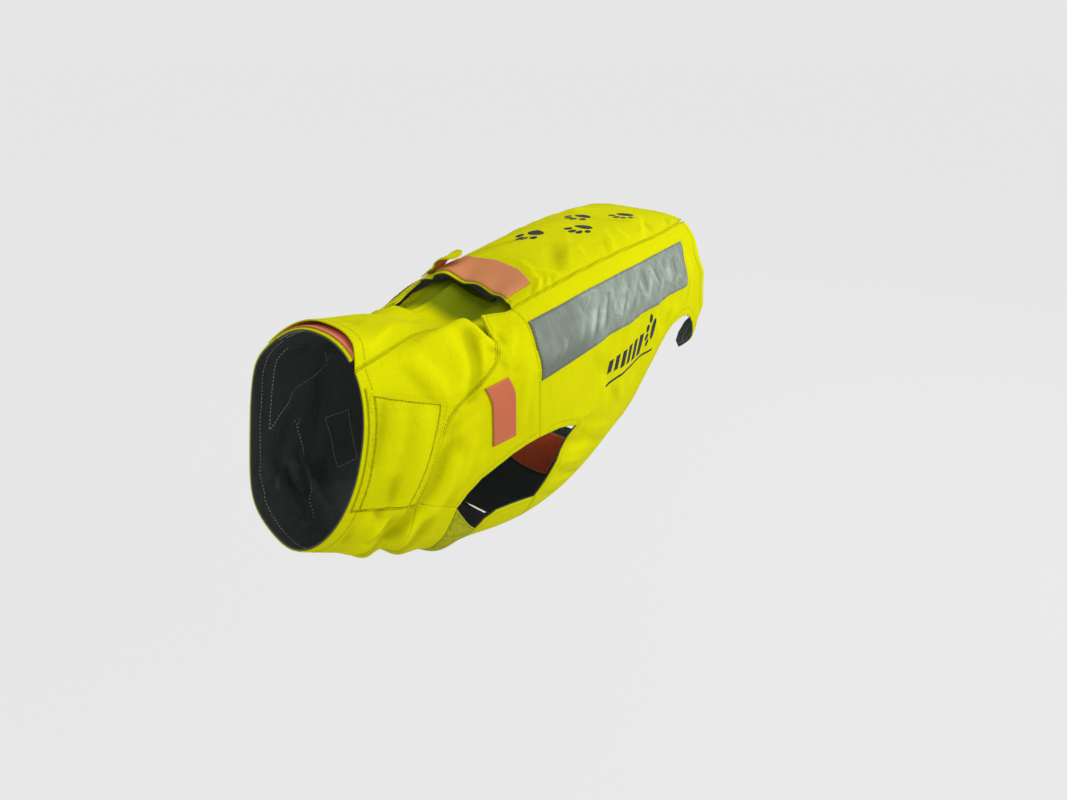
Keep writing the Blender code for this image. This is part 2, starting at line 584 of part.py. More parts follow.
panel("belly_panel", belly, "body", lining="belly_lining")

# ------------------------------------------------- the tab that closes the back
tab = soft([(-0.0515, -41), (-0.0515, -22), (-0.0495, -16.5), (-0.0435, -14.5), (-0.0325, -14.5),
            (-0.0265, -16.5), (-0.0245, -22), (-0.0245, -41)], 15)
TAB_HOOK = ring([(-0.0490, -36), (-0.0490, -18), (-0.0270, -18), (-0.0270, -36)])
panel("closing_tab", tab, "tab", step=0.009,
      patches=[("tab_hook_patch", TAB_HOOK, -CLOTH - GAP - 0.0011, 0.0011)])

total = sum(n for _, n in made)
for row in made:
    print("%-28s %5d" % row)
print("solids", len(made), "triangles", total)
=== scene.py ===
"""A dog's protective vest, dressed: cloth, linings, patches, tape and sewing.

Frame: the neck points to -Y, the rear hem to +Y, the dog's left is +X and up is
+Z.  A spot of the garment is given by its station y along the body and by an
angle c in degrees, 0 on the back and +90 on the dog's left.
"""
import logging
import math
from dataclasses import dataclass, field
from enum import Enum
from typing import Callable

import bmesh
import bpy
import numpy as np
from mathutils import Matrix, Vector
from mathutils.geometry import delaunay_2d_cdt


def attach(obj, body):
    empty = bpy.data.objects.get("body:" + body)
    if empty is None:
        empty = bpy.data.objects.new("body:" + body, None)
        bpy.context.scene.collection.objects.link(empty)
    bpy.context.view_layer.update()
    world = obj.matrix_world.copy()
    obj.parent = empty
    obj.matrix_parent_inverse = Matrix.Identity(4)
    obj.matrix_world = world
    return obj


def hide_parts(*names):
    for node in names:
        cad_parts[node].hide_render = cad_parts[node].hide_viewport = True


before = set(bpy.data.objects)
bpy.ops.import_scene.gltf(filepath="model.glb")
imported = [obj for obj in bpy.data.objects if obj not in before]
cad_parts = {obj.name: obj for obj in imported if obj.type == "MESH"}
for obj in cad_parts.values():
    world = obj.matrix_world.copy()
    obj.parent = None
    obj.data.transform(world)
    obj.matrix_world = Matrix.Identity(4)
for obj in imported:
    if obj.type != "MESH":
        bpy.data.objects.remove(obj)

log = logging.getLogger("vest")
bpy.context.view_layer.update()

Spot = tuple[float, float]
Line = list[Spot]
Shift = Callable[[np.ndarray, np.ndarray], np.ndarray]
Value = float | bpy.types.NodeSocket

DEG = 0.0022                    # metres of cloth to a degree, on the flat pattern
CLOTH, LINING, GAP = 0.0013, 0.0010, 0.0003
STRIP, BAND, TAPE = 0.0012, 0.0011, 0.0008      # thickness of what is sewn on
UNDER = -CLOTH - GAP            # height of a lining's outer face
INNER_FACE = UNDER - LINING     # height of the face that looks into the vest
NECK, REAR = -0.255, 0.262      # stations of the two ends
SEAM_ROW = 0.0021               # distance of a row of stitches from its seam
TRIM = 0.00005                  # how far every outline is drawn in
EDGE_ROWS = (0.0008, 0.0019)    # rows of points beside every edge
EDGE_CLEAR = 0.0026             # distance from an edge to the even points
FAR, NO_HEM = 1.0, 9.0          # distances where a piece has no such edge
CREASE = 0.0016                 # height of a crease that takes the full painted shade or light
LEG_HEM = (0.0045, 0.0040)      # width of a hem, and its row of stitches
NECK_HEM = (0.0098, 0.0091)


class Lay(Enum):
    """Which layer of the vest a panel follows."""
    BODY = "body"
    COLLAR = "collar"
    FLAP = "flap"
    INNER_FLAP = "inner flap"
    BACK = "back"
    TAB = "tab"


class Join(Enum):
    """How an edge of a panel is finished."""
    SEAM = "seam"
    HEM = "hem"
    RAW = "raw"


def smooth(a: float, b: float, x: np.ndarray) -> np.ndarray:
    """Rise softly from 0 at a to 1 at b."""
    t = np.clip((np.asarray(x, float) - a) / (b - a), 0, 1)
    return t * t * (3 - 2 * t)


def between(a: float, b: float, c: float, d: float, x: np.ndarray) -> np.ndarray:
    """Rise softly from 0 at a to 1 at b, and fall back to 0 from c to d."""
    return smooth(a, b, x) * (1 - smooth(c, d, x))


def along(table: list, x: np.ndarray) -> np.ndarray:
    """Read values from a table in a soft curve.

    Args:
        table: rows of a position and one or more values.
        x: positions to read at.

    Returns:
        The values at each position.
    """
    xs = np.array([row[0] for row in table], float)
    ys = np.array([row[1:] for row in table], float)
    x = np.clip(np.asarray(x, float), xs[0], xs[-1])
    h = np.diff(xs)
    d = np.diff(ys, axis=0) / h[:, None]
    m = np.zeros_like(ys)
    m[0], m[-1] = d[0], d[-1]
    for i in range(1, len(xs) - 1):
        m[i] = (d[i - 1] * h[i] + d[i] * h[i - 1]) / (h[i] + h[i - 1])
    k = np.clip(np.searchsorted(xs, x, side="right") - 1, 0, len(xs) - 2)
    t = ((x - xs[k]) / h[k])[..., None]
    w = h[k][..., None]
    return ((2 * t**3 - 3 * t**2 + 1) * ys[k] + (t**3 - 2 * t**2 + t) * w * m[k]
            + (3 * t**2 - 2 * t**3) * ys[k + 1] + (t**3 - t**2) * w * m[k + 1])


@dataclass(frozen=True)
class Fold:
    """A soft ridge or trough in the cloth, from one spot to another."""
    y0: float
    c0: float
    y1: float
    c1: float
    wide: float
    high: float
    side: int = 0       # 0 on both sides of the vest, 1 on the dog's left alone

    def rise(self, y: np.ndarray, c: np.ndarray, ends: float) -> np.ndarray:
        """Height of the fold at some spots.

        Args:
            y: stations.
            c: angles, in degrees.
            ends: share of its height that the fold keeps at both ends.

        Returns:
            One height to a spot.
        """
        ax, ay = self.y0, self.c0 * DEG
        bx, by = self.y1 - self.y0, (self.c1 - self.c0) * DEG
        t = np.clip(((y - ax) * bx + (c * DEG - ay) * by) / (bx * bx + by * by), 0, 1)
        d = ((y - ax - t * bx) ** 2 + (c * DEG - ay - t * by) ** 2) / self.wide ** 2
        return self.high * np.exp(-d) * (ends + (1 - ends) * np.sin(math.pi * t))


@dataclass
class Body:
    """The filled-out body that every panel lies on."""
    stations: list = field(default_factory=lambda: [
        # station, top, widest and low height, half width, lean, roundness above and below
        (-0.255, 0.006, -0.074, -0.169, 0.067, 22, 2.3, 1.9),
        (-0.208, -0.006, -0.073, -0.202, 0.078, 18, 2.3, 2.0),
        (-0.155, -0.012, -0.072, -0.238, 0.090, 12, 2.3, 2.1),
        (-0.100, -0.007, -0.070, -0.270, 0.101, 6, 2.3, 2.2),
        (-0.055, 0.001, -0.069, -0.290, 0.105, 2, 2.3, 2.3),
        (-0.005, 0.008, -0.069, -0.297, 0.106, 0, 2.3, 2.4),
        (0.050, 0.011, -0.069, -0.292, 0.106, 0, 2.3, 2.4),
        (0.115, 0.012, -0.069, -0.270, 0.106, 0, 2.3, 2.4),
        (0.190, 0.008, -0.069, -0.238, 0.106, 0, 2.3, 2.7),
        (0.290, 0.001, -0.069, -0.231, 0.106, 0, 2.3, 3.3)])
    folds: list = field(default_factory=lambda: [Fold(*row) for row in (
        (-0.130, 18, -0.134, 46, 0.013, 0.0045), (-0.195, 33, -0.125, 26, 0.014, 0.0095, 1),
        (-0.136, 46, -0.165, 68, 0.013, 0.0040), (-0.214, 60, -0.206, 112, 0.014, 0.0030),
        (-0.226, 118, -0.196, 176, 0.010, 0.0060), (-0.200, 122, -0.168, 170, 0.009, 0.0055),
        (-0.212, 124, -0.182, 172, 0.007, -0.0040), (-0.172, 126, -0.160, 178, 0.009, 0.0025),
        (-0.142, 146, -0.126, 182, 0.015, 0.0075), (-0.136, 62, -0.122, 96, 0.010, -0.0008),
        (-0.104, 58, -0.100, 100, 0.010, 0.0018), (-0.104, 36, -0.112, 52, 0.012, -0.0020),
        (-0.030, 106, 0.020, 100, 0.007, 0.0030), (-0.034, 112, 0.022, 112, 0.008, -0.0035),
        (-0.040, 118, 0.028, 124, 0.008, 0.0035), (-0.100, 66, 0.050, 68, 0.024, -0.0036),
        (0.050, 68, 0.250, 70, 0.024, -0.0036), (0.010, 100, 0.060, 62, 0.011, -0.0022),
        (0.066, 60, 0.060, 104, 0.009, 0.0018), (0.096, 58, 0.092, 98, 0.008, -0.0018),
        (0.128, 60, 0.124, 106, 0.009, 0.0020), (0.156, 58, 0.158, 96, 0.008, -0.0018),
        (0.186, 60, 0.196, 100, 0.008, 0.0016), (0.070, 112, 0.140, 96, 0.012, -0.0025),
        (0.150, 100, 0.205, 88, 0.010, 0.0025), (0.232, 60, 0.236, 96, 0.010, -0.0020),
        (0.010, 22, 0.060, 12, 0.012, -0.0022), (0.165, 14, 0.215, 30, 0.012, 0.0022))])
    creases: list = field(default_factory=lambda: [Fold(*row) for row in (
        # the collar's roll and what runs down from it
        (-0.139, 36, -0.162, 80, 0.0065, -0.0028), (-0.136, 45, -0.146, 63, 0.0036, 0.0013),
        (-0.154, 34, -0.173, 70, 0.0075, 0.0022), (-0.212, 44, -0.196, 72, 0.0070, -0.0010),
        (-0.196, 40, -0.182, 74, 0.0080, 0.0012), (-0.233, 26, -0.192, 11, 0.0042, 0.0009),
        (-0.222, 3, -0.156, -15, 0.0042, -0.0009),
        # the pocket
        (-0.240, 64, -0.246, 92, 0.0052, -0.0009), (-0.226, 67, -0.231, 98, 0.0060, 0.0009),
        (-0.224, 103, -0.221, 114, 0.0050, -0.0011), (-0.205, 74, -0.211, 116, 0.0075, 0.0011),
        # beside and under the pocket
        (-0.172, 96, -0.165, 101, 0.0062, -0.0017), (-0.184, 95, -0.155, 91, 0.0042, 0.0010),
        (-0.156, 98, -0.159, 117, 0.0052, 0.0010), (-0.184, 101, -0.182, 115, 0.0052, -0.0010),
        (-0.144, 103, -0.157, 118, 0.0052, 0.0008), (-0.231, 117, -0.225, 121, 0.0034, -0.0014),
        (-0.199, 121, -0.202, 140, 0.0040, -0.0030), (-0.213, 121, -0.224, 134, 0.0042, 0.0020),
        (-0.216, 127, -0.224, 138, 0.0034, -0.0022), (-0.189, 124, -0.194, 146, 0.0045, 0.0015),
        (-0.236, 117, -0.238, 132, 0.0042, 0.0012), (-0.241, 127, -0.238, 142, 0.0034, -0.0012),
        (-0.206, 140, -0.214, 158, 0.0045, -0.0016), (-0.190, 148, -0.196, 172, 0.0045, 0.0014),
        (-0.178, 92, -0.197, 126, 0.0060, -0.0020), (-0.166, 98, -0.181, 125, 0.0065, 0.0018),
        (-0.150, 108, -0.166, 122, 0.0055, -0.0014), (-0.214, 122, -0.208, 150, 0.0048, -0.0022),
        (-0.228, 126, -0.218, 160, 0.0052, 0.0016), (-0.176, 128, -0.186, 168, 0.0055, -0.0020),
        # the shoulder, pulled in at its seams
        (-0.126, 34, -0.127, 49, 0.0036, 0.0014), (-0.131, 51, -0.124, 58, 0.0032, -0.0014),
        (-0.113, 45, -0.115, 53, 0.0032, -0.0014), (-0.126, 60, -0.124, 71, 0.0030, -0.0010),
        (-0.099, 47, -0.115, 63, 0.0040, 0.0010), (-0.115, 72, -0.117, 76, 0.0045, -0.0008),
        (-0.105, 80, -0.106, 97, 0.0042, 0.0007), (-0.101, 94, -0.095, 101, 0.0040, -0.0006),
        # ripples of the tape and the flank under it
        (-0.045, 74, -0.067, 88, 0.0026, 0.0016), (-0.043, 84, -0.058, 90, 0.0026, -0.0011),
        (-0.050, 58, -0.057, 71, 0.0060, 0.0008), (-0.080, 86, -0.058, 77, 0.0032, 0.0009),
        (0.010, 67, -0.013, 84, 0.0028, 0.0016), (0.018, 66, -0.005, 86, 0.0024, -0.0014),
        (0.030, 65, 0.005, 84, 0.0028, 0.0017), (0.038, 63, 0.015, 83, 0.0024, -0.0014),
        (0.043, 57, 0.043, 79, 0.0028, 0.0013), (0.009, 57, 0.015, 67, 0.0028, 0.0010),
        (0.067, 60, 0.067, 72, 0.0028, 0.0013), (0.058, 73, 0.044, 85, 0.0024, 0.0014),
        (0.072, 66, 0.051, 81, 0.0024, -0.0014), (0.099, 62, 0.071, 77, 0.0028, 0.0011),
        (0.076, 77, 0.061, 88, 0.0024, -0.0013), (0.090, 76, 0.071, 89, 0.0024, 0.0013),
        (0.122, 59, 0.131, 77, 0.0028, 0.0015), (0.110, 62, 0.109, 78, 0.0026, -0.0015),
        (0.121, 71, 0.101, 86, 0.0024, 0.0014), (0.145, 58, 0.160, 79, 0.0028, 0.0012),
        (0.132, 65, 0.137, 78, 0.0024, -0.0013), (0.152, 74, 0.125, 85, 0.0024, 0.0014),
        (0.169, 63, 0.165, 80, 0.0026, 0.0013), (0.182, 64, 0.179, 78, 0.0030, -0.0014),
        (0.186, 80, 0.164, 86, 0.0028, 0.0010), (0.098, 66, 0.105, 84, 0.0022, 0.0009),
        (-0.016, 57, -0.011, 69, 0.0032, 0.0008), (-0.012, 70, -0.029, 81, 0.0032, 0.0009),
        (0.196, 60, 0.194, 70, 0.0028, 0.0009), (0.146, 80, 0.140, 88, 0.0024, -0.0010),
        # the flank below the tape
        (-0.010, 90, 0.036, 99, 0.0045, -0.0008), (0.016, 97, 0.032, 107, 0.0042, 0.0008),
        (0.041, 103, 0.069, 113, 0.0034, -0.0009), (0.056, 103, 0.078, 112, 0.0034, 0.0008),
        (0.095, 108, 0.091, 112, 0.0034, 0.0007), (0.145, 90, 0.186, 95, 0.0034, 0.0009),
        (0.124, 91, 0.148, 99, 0.0034, 0.0008), (0.168, 92, 0.158, 96, 0.0034, -0.0008),
        (0.215, 62, 0.222, 92, 0.0045, 0.0008), (0.226, 84, 0.212, 94, 0.0036, -0.0008),
        # gathers behind the leg hole
        (-0.033, 103, 0.010, 106, 0.0026, 0.0009), (-0.020, 107, 0.054, 119, 0.0030, 0.0009),
        (-0.029, 104, 0.009, 107, 0.0024, -0.0008), (-0.010, 111, 0.060, 128, 0.0028, -0.0009),
        (-0.033, 111, 0.000, 115, 0.0022, -0.0011), (-0.030, 115, 0.005, 118, 0.0024, 0.0011),
        (-0.043, 117, -0.005, 122, 0.0026, 0.0010), (-0.040, 121, 0.030, 139, 0.0026, -0.0010),
        (-0.046, 126, 0.004, 134, 0.0026, 0.0011), (-0.050, 132, -0.010, 142, 0.0026, -0.0010),
        # the back panel, drawn in along its seams
        (-0.018, 17, -0.007, 34, 0.0032, 0.0010), (-0.009, 9, -0.034, 33, 0.0032, 0.0012),
        (-0.040, 31, -0.055, 36, 0.0026, -0.0010), (-0.022, 31, -0.039, 37, 0.0026, -0.0010),
        (-0.014, 32, -0.025, 38, 0.0026, -0.0010), (-0.027, 29, -0.042, 35, 0.0026, 0.0010),
        (-0.019, 32, -0.032, 37, 0.0024, 0.0009), (0.047, 9, 0.003, 30, 0.0090, -0.0017),
        (0.060, 19, 0.042, 33, 0.0034, 0.0008), (0.119, 19, 0.086, 39, 0.0034, 0.0009),
        (0.136, 21, 0.124, 35, 0.0034, 0.0008), (0.215, 13, 0.150, 38, 0.0045, 0.0010),
        (0.191, 24, 0.177, 36, 0.0042, -0.0011), (0.238, 29, 0.216, 38, 0.0034, -0.0009),
        (0.080, 6, 0.020, 31, 0.0042, 0.0007), (0.092, 27, 0.075, 38, 0.0026, -0.0008),
        (0.160, 2, 0.172, 18, 0.0042, -0.0009), (0.110, -4, 0.100, 12, 0.0042, 0.0008))])
    # the right side of the top lies lower, and the right rim of the neck stands out
    sag: list = field(default_factory=lambda: [
        (-0.262, 0.0), (-0.215, 0.005), (-0.160, 0.015), (-0.110, 0.0165), (-0.060, 0.0115),
        (0.010, 0.0125), (0.080, 0.0085), (0.150, 0.0030), (0.200, 0.0)])
    bulge: list = field(default_factory=lambda: [
        (-0.262, 0.0085), (-0.250, 0.0078), (-0.220, 0.0024), (-0.195, 0.0)])
    low_bulge: list = field(default_factory=lambda: [
        (-0.262, 0.0085), (-0.250, 0.0075), (-0.222, 0.0028), (-0.195, 0.0)])
    v_seam: list = field(default_factory=lambda: [
        (-0.257, 41), (-0.202, 25.5), (-0.153, 17), (-0.111, 12.5), (-0.078, 11), (-0.03, 11)])
    corner: float = 0.266       # station where the rear corners turn in, and their bend
    bend: float = 0.009
    roll: float = 16.0          # degrees that the right side's front is turned round
    fold_ends: float = 0.35
    crease_ends: float = 0.60
    trough: float = 0.029       # depth of the hollow between collar and back
    tuck: tuple = (0.0088, 0.0080)      # how far the collar dips under the shoulders
    hem_wave: float = 0.0014    # how much the back panel's front hem waves
    hem_hump: float = 0.0045    # and how far it stands up beside the loop patch
    flap_rise: tuple = (0.0045, 0.0015, 0.0022)     # outer flap: all along, at the neck, at the rear
    tab_rise: tuple = (0.0020, 0.0092)              # closing tab: all along, at its free end
    probe: tuple = (4e-4, 0.25)         # steps along and round that normals are taken over

    def section(self, y: np.ndarray, phi: np.ndarray) -> np.ndarray:
        """Points of the bare body.

        Args:
            y: stations.
            phi: angles on the body, in degrees.

        Returns:
            An array of points.
        """
        zt, zw, zl, w, lean, pt, pl = np.moveaxis(along(self.stations, y), -1, 0)
        a = np.radians(phi)
        c, s = np.cos(a), np.sin(a)
        up = c >= 0
        x = w * np.sign(s) * np.abs(s) ** (2 / np.where(up, pt, pl))
        tall = np.where(up, zt - zw, zw - zl)
        v = tall * np.sign(c) * np.abs(c) ** (2 / np.where(up, pt, pl))
        right = np.clip(-np.asarray(phi, float), 0, 180)
        v = v - along(self.sag, y)[..., 0] * np.sin(np.radians(2 * np.minimum(right, 90))) ** 2
        x = x - along(self.bulge, y)[..., 0] * np.exp(-((right - 66) / 24.0) ** 2)
        drawn = along(self.low_bulge, y)[..., 0] * np.exp(-((right - 138) / 22.0) ** 2)
        x, v = x - 0.75 * drawn, v - 0.65 * drawn
        lean = np.radians(lean)
        arc = np.clip((y - self.corner) / self.bend, 0, math.pi / 2)
        past = np.maximum(y - self.corner - self.bend * math.pi / 2, 0)
        turn = smooth(97, 107, np.abs(phi))
        x = x - np.sign(x) * turn * (self.bend * (1 - np.cos(arc)) + past)
        y = y + turn * (np.minimum(self.corner - y, 0) + self.bend * np.sin(arc))
        return np.stack([x, y + v * np.sin(lean), zw + v * np.cos(lean)], -1)

    def turned(self, y: np.ndarray, c: np.ndarray) -> np.ndarray:
        """Turn angles on the cloth into angles on the body.

        Args:
            y: stations.
            c: angles on the cloth, in degrees.

        Returns:
            Angles on the body, in degrees.
        """
        c = (np.asarray(c, float) + 180) % 360 - 180
        roll = self.roll * (1 - smooth(-0.040, 0.070, y))
        return np.where(c >= 0, c - roll * smooth(142, 180, c), c - roll * smooth(62, 112, -c))

    @staticmethod
    def calm(y: np.ndarray, f: np.ndarray) -> np.ndarray:
        """How much of a crease shows, as tape and stiff patches hold the cloth flat.

        Args:
            y: stations.
            f: angles from the back, in degrees.

        Returns:
            A share of the crease's height, over 1 near the neck.
        """
        taped = between(50, 55, 88, 93, f) * between(-0.100, -0.082, 0.208, 0.220, y)
        middle = between(56, 64, 79, 87, f)
        patch = between(73, 77, 100, 104, f) * between(-0.153, -0.146, -0.116, -0.109, y)
        neck = 1 + 0.25 * (1 - smooth(-0.210, -0.180, y))
        return (1 - taped * (1 - 0.50 * middle)) * (1 - 0.9 * patch) * neck

    def relief(self, y: np.ndarray, phi: np.ndarray) -> tuple[np.ndarray, np.ndarray]:
        """How far folds and creases stand out.

        Args:
            y: stations.
            phi: angles on the body, in degrees.

        Returns:
            The height of the folds and that of the creases.
        """
        signed = (np.asarray(phi) + 180) % 360 - 180
        f = np.abs(signed)
        left = smooth(-7, 7, signed)
        # the right side's creases are like the left side's, but not their mirror image
        drift = (1 - left) * np.sin(np.radians(f))
        warp_y = y + drift * (0.005 + 0.006 * np.sin(f * 0.11))
        warp_f = f + drift * 2.4 * np.sin(31 * y + 0.7)
        swing = 1 + 0.25 * drift * np.sin(57 * y + 0.09 * f)
        share = {0: 1.0, 1: left}
        big = sum(share[r.side] * r.rise(y, f, self.fold_ends) for r in self.folds)
        small = sum(share[r.side] * r.rise(warp_y, warp_f, self.crease_ends) for r in self.creases)
        return big, small * swing * self.calm(warp_y, warp_f)

    def hem_y(self, c: np.ndarray) -> np.ndarray:
        """Station of the back panel's front hem at an angle."""
        c = np.asarray(c, float)
        return np.where(c > 0, -0.057 - 0.00066 * c, -0.057 + 0.0001 * c)

    def collar_v(self, y: np.ndarray) -> np.ndarray:
        """Angle of the collar's top seam at a station."""
        return along(self.v_seam, y)[..., 0]

    def base(self, y: np.ndarray, c: np.ndarray, lay: Lay) -> tuple:
        """Station, body angle and lift of a layer's outer face.

        Args:
            y: stations.
            c: angles on the cloth, in degrees.
            lay: the layer.

        Returns:
            Stations, angles, lifts and the height of the creases alone.
        """
        y, c = np.broadcast_arrays(np.asarray(y, float), np.asarray(c, float))
        phi = self.turned(y, c)
        big, small = self.relief(y, phi)
        lift = big + small
        f = np.abs(c)
        if lay in (Lay.COLLAR, Lay.FLAP, Lay.INNER_FLAP):
            deep = self.trough * smooth(-0.192, -0.108, y) * np.exp(-(f / 20.0) ** 2)
            under = np.where(c < 0, *self.tuck) * smooth(-0.130, -0.114, y)
            lift = lift - deep - under * (1 - smooth(40, 48.5, f))
        if lay in (Lay.BACK, Lay.TAB):
            edge = 1 - smooth(0.0, 0.045, y - self.hem_y(c))
            dip = (0.0065 + 0.0095 * (1 - smooth(-0.060, 0.004, y))) * np.exp(-(c / 25.0) ** 2)
            wave = self.hem_wave * np.sin(c * 0.30 + 0.8) + self.hem_hump * between(6, 18, 25, 30, -c)
            lift = lift - dip * (1 - smooth(27, 37, f)) + edge * wave * (1 - smooth(26, 30, f))
        if lay is Lay.FLAP:
            over = smooth(0.0, 14.0, self.collar_v(y) - c)
            even, neck, rear = self.flap_rise
            lift = lift + over * (even + neck * (1 - smooth(NECK, NECK + 0.045, y))
                                  + rear * smooth(-0.150, -0.110, y))
        if lay is Lay.TAB:
            lift = lift + self.tab_rise[0] + self.tab_rise[1] * smooth(40, 18, -c)
        return y, phi, lift, small

    def raised(self, y: np.ndarray, phi: np.ndarray, lift: np.ndarray) -> np.ndarray:
        """Move the bare body's points out along its own normals.

        Args:
            y: stations.
            phi: angles on the body, in degrees.
            lift: how far to move each point.

        Returns:
            The moved points.
        """
        e, g = self.probe
        n = np.cross(self.section(y, phi + g) - self.section(y, phi - g),
                     self.section(y + e, phi) - self.section(y - e, phi))
        n /= np.linalg.norm(n, axis=-1, keepdims=True)
        return self.section(y, phi) + n * lift[..., None]

    def place(self, y: np.ndarray, c: np.ndarray, lay: Lay) -> tuple:
        """Points of a layer's outer face.

        Args:
            y: stations.
            c: angles on the cloth, in degrees.
            lay: the layer.

        Returns:
            Points, outward normals and the height of the creases alone.
        """
        yy, phi, lift, small = self.base(y, c, lay)
        e, g = self.probe
        side = [self.raised(*self.base(y + dy, np.asarray(c) + dc, lay)[:3])
                for dy, dc in ((e, 0), (-e, 0), (0, g), (0, -g))]
        n = np.cross(side[2] - side[3], side[0] - side[1])
        n /= np.linalg.norm(n, axis=-1, keepdims=True)
        return self.raised(yy, phi, lift), n, small


BODY = Body()


# ------------------------------------------------------------ lines on the flat pattern
def run(points: Line, step: float) -> Line:
    """Add points to an open line so that no stretch is longer than the step.

    Args:
        points: the line's spots.
        step: the longest stretch, in metres.

    Returns:
        The closer line.
    """
    out: Line = []
    for (y0, f0), (y1, f1) in zip(points, points[1:]):
        n = max(1, int(math.ceil(math.hypot(y1 - y0, (f1 - f0) * DEG) / step)))
        out += [(y0 + (y1 - y0) * i / n, f0 + (f1 - f0) * i / n) for i in range(n)]
    return out + [points[-1]]


def soft(points: Line, n: int) -> Line:
    """Draw a soft line through a few spots.

    Args:
        points: the spots.
        n: how many points the line gets.

    Returns:
        The soft line.
    """
    t = np.r_[0, np.cumsum([math.hypot(b[0] - a[0], (b[1] - a[1]) * DEG)
                            for a, b in zip(points, points[1:])])]
    rows = [(k, *p) for k, p in zip(t, points)]
    return [(float(q[0]), float(q[1])) for q in along(rows, np.linspace(0, t[-1], n))]


def flat(points: Line) -> np.ndarray:
    """Spots in metres on the flat pattern."""
    return np.array([(y, f * DEG) for y, f in points])


def inside(poly: np.ndarray, pts: np.ndarray) -> np.ndarray:
    """Tell which points lie inside a closed polygon.

    Args:
        poly: the polygon's corners.
        pts: the points.

    Returns:
        True for each point that lies inside.
    """
    x, y = pts[:, 0], pts[:, 1]
    hit = np.zeros(len(pts), bool)
    j = len(poly) - 1
    for i in range(len(poly)):
        (xi, yi), (xj, yj) = poly[i], poly[j]
        with np.errstate(divide="ignore", invalid="ignore"):
            hit ^= ((yi > y) != (yj > y)) & (x < (xj - xi) * (y - yi) / (yj - yi) + xi)
        j = i
    return hit


def near(line: np.ndarray, pts: np.ndarray, closed: bool = True) -> np.ndarray:
    """Distance from each point to a line.

    Args:
        line: the line's points.
        pts: the points to measure from.
        closed: whether the line runs back to its start.

    Returns:
        One distance to a point.
    """
    best = np.full(len(pts), 1e9)
    ends = np.roll(line, -1, axis=0) if closed else line[1:]
    for a, b in zip(line, ends):
        d = b - a
        t = np.clip(((pts - a) @ d) / max(float(d @ d), 1e-18), 0, 1)
        best = np.minimum(best, np.linalg.norm(pts - a - t[:, None] * d, axis=1))
    return best


def shrink(poly: np.ndarray, by: float) -> np.ndarray:
    """Move every edge of a closed polygon in by the same amount.

    Args:
        poly: the polygon's corners.
        by: how far, in metres.

    Returns:
        The corners of the smaller polygon.
    """
    x, y = poly[:, 0], poly[:, 1]
    area = 0.5 * np.sum(x * np.roll(y, -1) - np.roll(x, -1) * y)
    sign = 1.0 if area > 0 else -1.0
    out = []
    for i in range(len(poly)):
        a, b, c = poly[i - 1], poly[i], poly[(i + 1) % len(poly)]
        d0 = (b - a) / np.linalg.norm(b - a)
        d1 = (c - b) / np.linalg.norm(c - b)
        m = sign * (np.array([-d0[1], d0[0]]) + np.array([-d1[1], d1[0]]))
        out.append(b + m / max(float(m @ m), 0.35) * 2 * by)
    return np.array(out)


def beside(line: Line, by: float, poly: np.ndarray) -> Line:
    """A line moved sideways into a polygon.

    Args:
        line: the line to move.
        by: how far, in metres.
        poly: the closed polygon that it ends up in.

    Returns:
        The moved line.
    """
    p = flat(run(line, 0.004))
    d = np.gradient(p, axis=0)
    d /= np.linalg.norm(d, axis=1, keepdims=True)
    n = np.stack([-d[:, 1], d[:, 0]], -1)
    probe = inside(poly, p + n * min(by, 0.002)).sum()
    n = n if probe >= inside(poly, p - n * min(by, 0.002)).sum() else -n
    q = p + n * by
    keep = inside(poly, q) & (near(p, q, closed=False) > by * 0.93)
    return [(float(a), float(b) / DEG) for (a, b), k in zip(q, keep) if k]


@dataclass(frozen=True)
class Edge:
    """One edge of a panel, how it is finished and its rows of stitches."""
    line: tuple
    join: Join
    wide: float = 0.0
    rows: tuple = ()

    @classmethod
    def seam(cls, line: Line | tuple, *rows: float) -> "Edge":
        """An edge that is sewn to the next piece."""
        return cls(tuple(line), Join.SEAM, rows=rows)

    @classmethod
    def hem(cls, line: Line | tuple, wide: float, *rows: float) -> "Edge":
        """An edge that is turned in."""
        return cls(tuple(line), Join.HEM, wide, rows)

    @classmethod
    def raw(cls, line: Line | tuple, *rows: float) -> "Edge":
        """A bare edge, under another piece or all round this one."""
        return cls(tuple(line), Join.RAW, rows=rows)


@dataclass(frozen=True)
class Patch:
    """A piece sewn on a panel: its outline, underside height and thickness."""
    name: str
    loop: tuple
    high: float
    thick: float
    edges: tuple = ()
    rows: tuple = (0.0018,)


